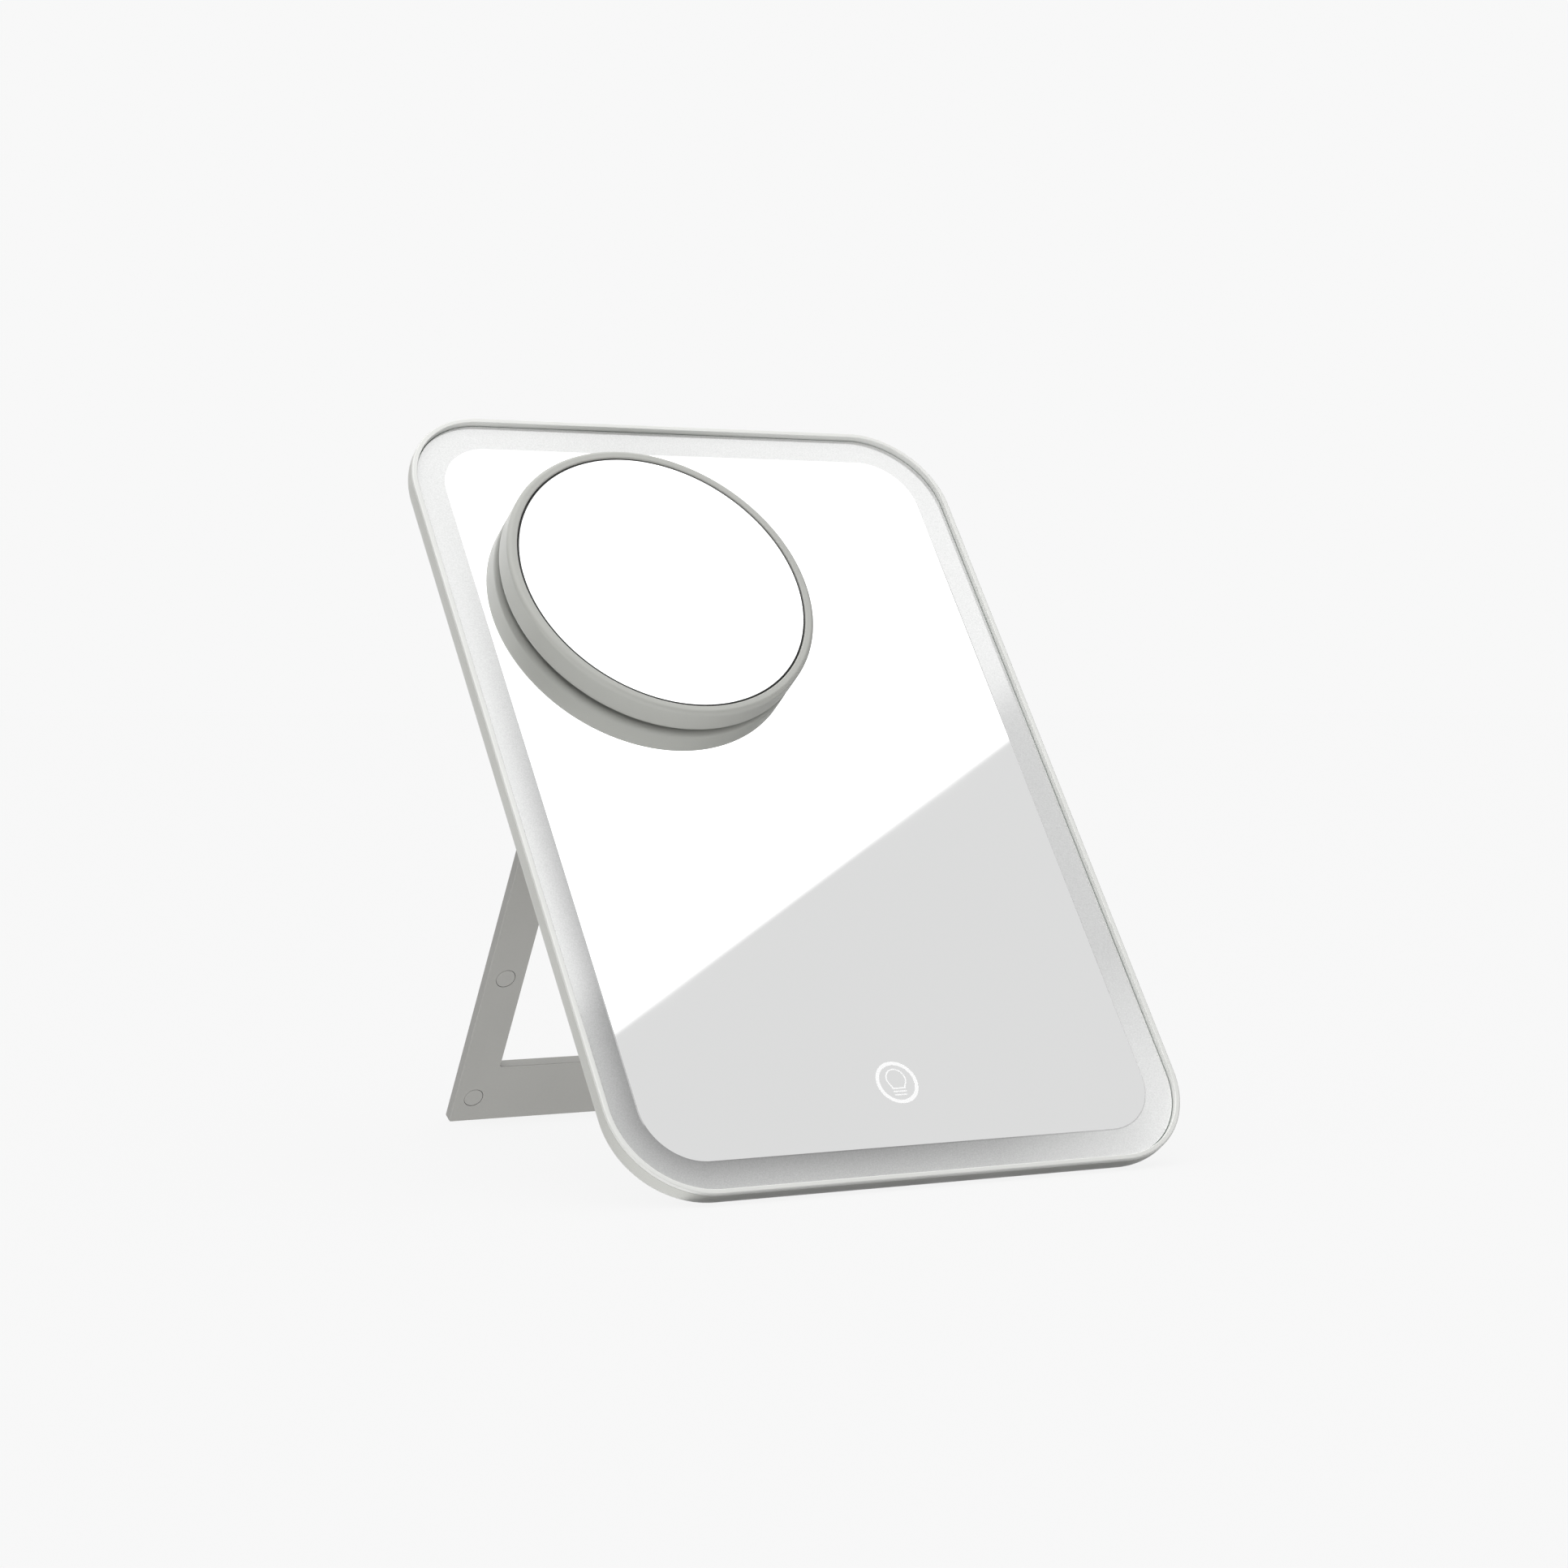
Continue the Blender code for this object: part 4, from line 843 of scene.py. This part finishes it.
def make_magnifier():
    floor_low, floor_high = CASE_FLOOR
    section = [(POCKET_RADIUS, floor_high)]
    inner_round = (POCKET_RADIUS + CASE_INNER_ROUND, CASE_FRONT - CASE_INNER_ROUND)
    lip_round = (CASE_RADIUS - CASE_LIP_ROUND, CASE_FRONT - CASE_LIP_ROUND)
    back_round = (CASE_RADIUS - CASE_BACK_ROUND, CASE_BACK + CASE_BACK_ROUND)
    section += arc(inner_round, CASE_INNER_ROUND, 180, 90, 5)
    section += arc(lip_round, CASE_LIP_ROUND, 90, 0, 10)
    section += arc(back_round, CASE_BACK_ROUND, 0, -90, 8)
    section += [(COVER_SEAT, CASE_BACK), (COVER_SEAT, floor_low)]
    case = new_object("magnifier_shell", turned(section), MAGNIFIER, MAGNIFIER_PLASTIC)
    cutters = []
    for index in range(1, 5):
        low, high = extent(f"magnifier_magnet_{index}", MAGNIFIER)
        radius = (high.x - low.x) / 2 + THIN_GAP
        centre = ((low.x + high.x) / 2, (low.y + high.y) / 2, 0)
        pocket = prism(circle(radius), floor_low - CUT_MARGIN, high.z + THIN_GAP)
        cutters.append(shifted(pocket, centre))
    cut(case, cutters, MAGNIFIER)
    finish_shading(case)
    stand_for(case, "magnifier_case", "magnifier")

    rim_front = DISH_HIGH.z

    def front(radius):
        return rim_front - (DISH_RADIUS ** 2 - radius ** 2) / (2 * DISH_CURVE)

    chamfer_width, chamfer_depth = DISH_CHAMFER
    radii = [(DISH_RADIUS - chamfer_width) * ring / DISH_RINGS for ring in range(1, DISH_RINGS + 1)]
    section = [(radius, front(radius)) for radius in radii]
    section += [(DISH_RADIUS, rim_front - chamfer_depth), (DISH_RADIUS, rim_front - DISH_THICK)]
    section += [(radius, front(radius) - DISH_THICK) for radius in reversed(radii)]
    dish = new_object("magnifier_dish", turned(section), MAGNIFIER, SILVERED, sharp=20)
    # Painted shade: the chamfer and edge take a near-black material for the gap between glass and lip
    for material in (DISH_EDGE_PAINTED_SHADE, GLASS_BACKING):
        dish.data.materials.append(material)
    inverse = MAGNIFIER.inverted()
    for polygon in dish.data.polygons:
        centre = inverse @ polygon.center
        reach = math.hypot(centre.x, centre.y)
        if reach > radii[-1]:
            polygon.material_index = 1
        elif centre.z < front(reach) - DISH_THICK / 2:
            polygon.material_index = 2
    stand_for(dish, "magnifier_glass", "magnifier")

    low, high = extent("magnifier_back_cover", MAGNIFIER)
    section = [(high.x - COVER_EDGE, low.z), (high.x, low.z + COVER_EDGE), (high.x, high.z)]
    cover = new_object("magnifier_cover_fine", turned(section), MAGNIFIER, MAGNIFIER_PLASTIC)
    finish_shading(cover)
    stand_for(cover, "magnifier_back_cover", "magnifier")

    low, high = extent("magnifier_pad", MAGNIFIER)
    section = [(high.x - PAD_EDGE, low.z), (high.x, low.z + PAD_EDGE), (high.x, high.z),
               (PAD_HOLE, high.z), (PAD_HOLE, low.z + PAD_EDGE), (PAD_HOLE + PAD_EDGE, low.z)]
    pad = new_object("magnifier_pad_fine", turned(section, ring=True), MAGNIFIER, SILICONE)
    finish_shading(pad)
    stand_for(pad, "magnifier_pad", "magnifier")


# Stage, light and camera

CAMERA_PLACE = Vector((-0.5257, -0.934545, 0.148063))
CAMERA_LOOK = Vector((0.4965, 0.8674, -0.0313))
CAMERA_LENS = 77.93

PALE = 0.938
ROOM_ABOVE = 0.765
SOFTBOX = 1.75
OVERHEAD_FROM = (0.50, 0.68)
ROOM_SIDES = 0.22
BELOW = 0.12
# Light bounced back by pale screens: from where, how wide and how strong
BOUNCES = (
    (Vector((-0.41, -0.62, -0.66)).normalized(), (0.60, 0.97), 2.10),
    (Vector((0.20, 0.90, -0.20)).normalized(), (0.60, 0.97), 0.90),
)
STAGE_RADIUS = 14.0
FLOOR_GLOW = 0.878
FLOOR_ALBEDO = 0.05
# Painted shade: a dark strip just under the floor's plane, below the mirror's lower edge, that only bounced
# light meets
SHADE_X = (-0.080, 0.090)
SHADE_Y = (-0.112, -0.078)
SHADE_Z = -0.001
SHADE_CORNER = 0.010
SHADE_ALBEDO = 0.10
# Two points of the glass, in the mirror's frame, between which the softbox's edge is seen reflected
SOFTBOX_EDGE = ((-87.4 * MM, 54.5 * MM), (87.4 * MM, 155.5 * MM))
SOFTBOX_BLUR = 0.0016


def seen_in_glass(x, y):
    """Direction that the camera sees reflected at a point of the glass."""
    ray = (MIRROR @ Vector((x, y, 0)) - CAMERA_PLACE).normalized()
    return ray - 2 * ray.dot(OUTWARD) * OUTWARD


def make_world():
    """A pale room with one big soft panel overhead, whose straight edge the glass reflects."""
    world = bpy.data.worlds.new("studio")
    bpy.context.scene.world = world
    world.use_nodes = True
    tree = world.node_tree
    nodes, links = tree.nodes, tree.links
    background = nodes["Background"]
    direction = nodes.new("ShaderNodeTexCoord").outputs["Generated"]

    def along(axis):
        made = nodes.new("ShaderNodeVectorMath")
        made.operation = "DOT_PRODUCT"
        links.new(direction, made.inputs[0])
        made.inputs[1].default_value = axis
        return made.outputs["Value"]

    def ramp(value, start, end, low=0.0, high=1.0):
        made = nodes.new("ShaderNodeMapRange")
        made.interpolation_type = "SMOOTHSTEP"
        links.new(value, made.inputs["Value"])
        for socket, number in (("From Min", start), ("From Max", end), ("To Min", low), ("To Max", high)):
            made.inputs[socket].default_value = number
        return made.outputs["Result"]

    def blend(factor, first, second):
        made = nodes.new("ShaderNodeMix")
        links.new(factor, made.inputs[0])
        for socket, value in ((made.inputs[2], first), (made.inputs[3], second)):
            if isinstance(value, float):
                socket.default_value = value
            else:
                links.new(value, socket)
        return made.outputs[0]

    first, second = (seen_in_glass(*point) for point in SOFTBOX_EDGE)
    side = first.cross(second).normalized()
    panel = ramp(along(side), -SOFTBOX_BLUR, SOFTBOX_BLUR)
    overhead = blend(panel, ROOM_ABOVE, SOFTBOX)
    height = along((0, 0, 1))
    upper = blend(ramp(height, *OVERHEAD_FROM), ROOM_SIDES, overhead)
    light = blend(ramp(height, -0.10, 0.0), BELOW, upper)
    for source, spread, strength in BOUNCES:
        added = nodes.new("ShaderNodeMath")
        added.operation = "ADD"
        links.new(light, added.inputs[0])
        links.new(ramp(along(source), *spread, 0.0, strength), added.inputs[1])
        light = added.outputs[0]
    links.new(light, background.inputs["Color"])


def stage_material(name, albedo, glow):
    """A matt, evenly glowing material for the stage."""
    graph = Graph(name, (albedo, albedo, albedo), 1.0)
    graph.shader.inputs["Specular IOR Level"].default_value = 0.0
    graph.shader.inputs["Emission Color"].default_value = (1, 1, 1, 1)
    graph.shader.inputs["Emission Strength"].default_value = glow
    return graph.material


def make_backdrop():
    """Pale stage seen by the camera alone: a dome all round, and a floor that shows a faint shadow."""
    in_place = Matrix.Identity(4)
    bm = bmesh.new()
    bmesh.ops.create_uvsphere(bm, u_segments=64, v_segments=32, radius=STAGE_RADIUS)
    dome = new_object("backdrop", bm, in_place, stage_material("pale_backdrop", 0.0, PALE))
    bm = bmesh.new()
    bmesh.ops.create_circle(bm, cap_ends=True, segments=64, radius=STAGE_RADIUS)
    floor = new_object("floor", bm, in_place, stage_material("pale_floor", FLOOR_ALBEDO, FLOOR_GLOW))
    for stage, seen_in_mirrors in ((dome, False), (floor, True)):
        stage.visible_diffuse = False
        stage.visible_glossy = seen_in_mirrors
        stage.visible_shadow = False
        stage.visible_transmission = False

    bm = bmesh.new()
    outline = at_height(rounded_rectangle(SHADE_X, SHADE_Y, SHADE_CORNER), SHADE_Z)
    bm.faces.new([bm.verts.new(point) for point in outline])
    shade = new_object("shaded_table", bm, in_place, stage_material("shaded_table", SHADE_ALBEDO, 0.0))
    shade.visible_camera = False
    shade.visible_glossy = False


def make_camera():
    camera = bpy.data.objects.new("camera", bpy.data.cameras.new("camera"))
    bpy.context.collection.objects.link(camera)
    camera.location = CAMERA_PLACE
    camera.rotation_euler = CAMERA_LOOK.to_track_quat("-Z", "Y").to_euler()
    camera.data.lens = CAMERA_LENS
    camera.data.clip_start = 0.01
    camera.data.clip_end = 200.0
    bpy.context.scene.camera = camera
    bpy.context.scene.view_settings.view_transform = "Standard"


make_front_frame()
make_rear_housing()
make_mirror_glass()
make_stand()
make_magnifier()
for node_name, node_material in CARRIED_OVER.items():
    frame["nodes"][node_name].data.materials[0] = node_material
make_world()
make_backdrop()
make_camera()
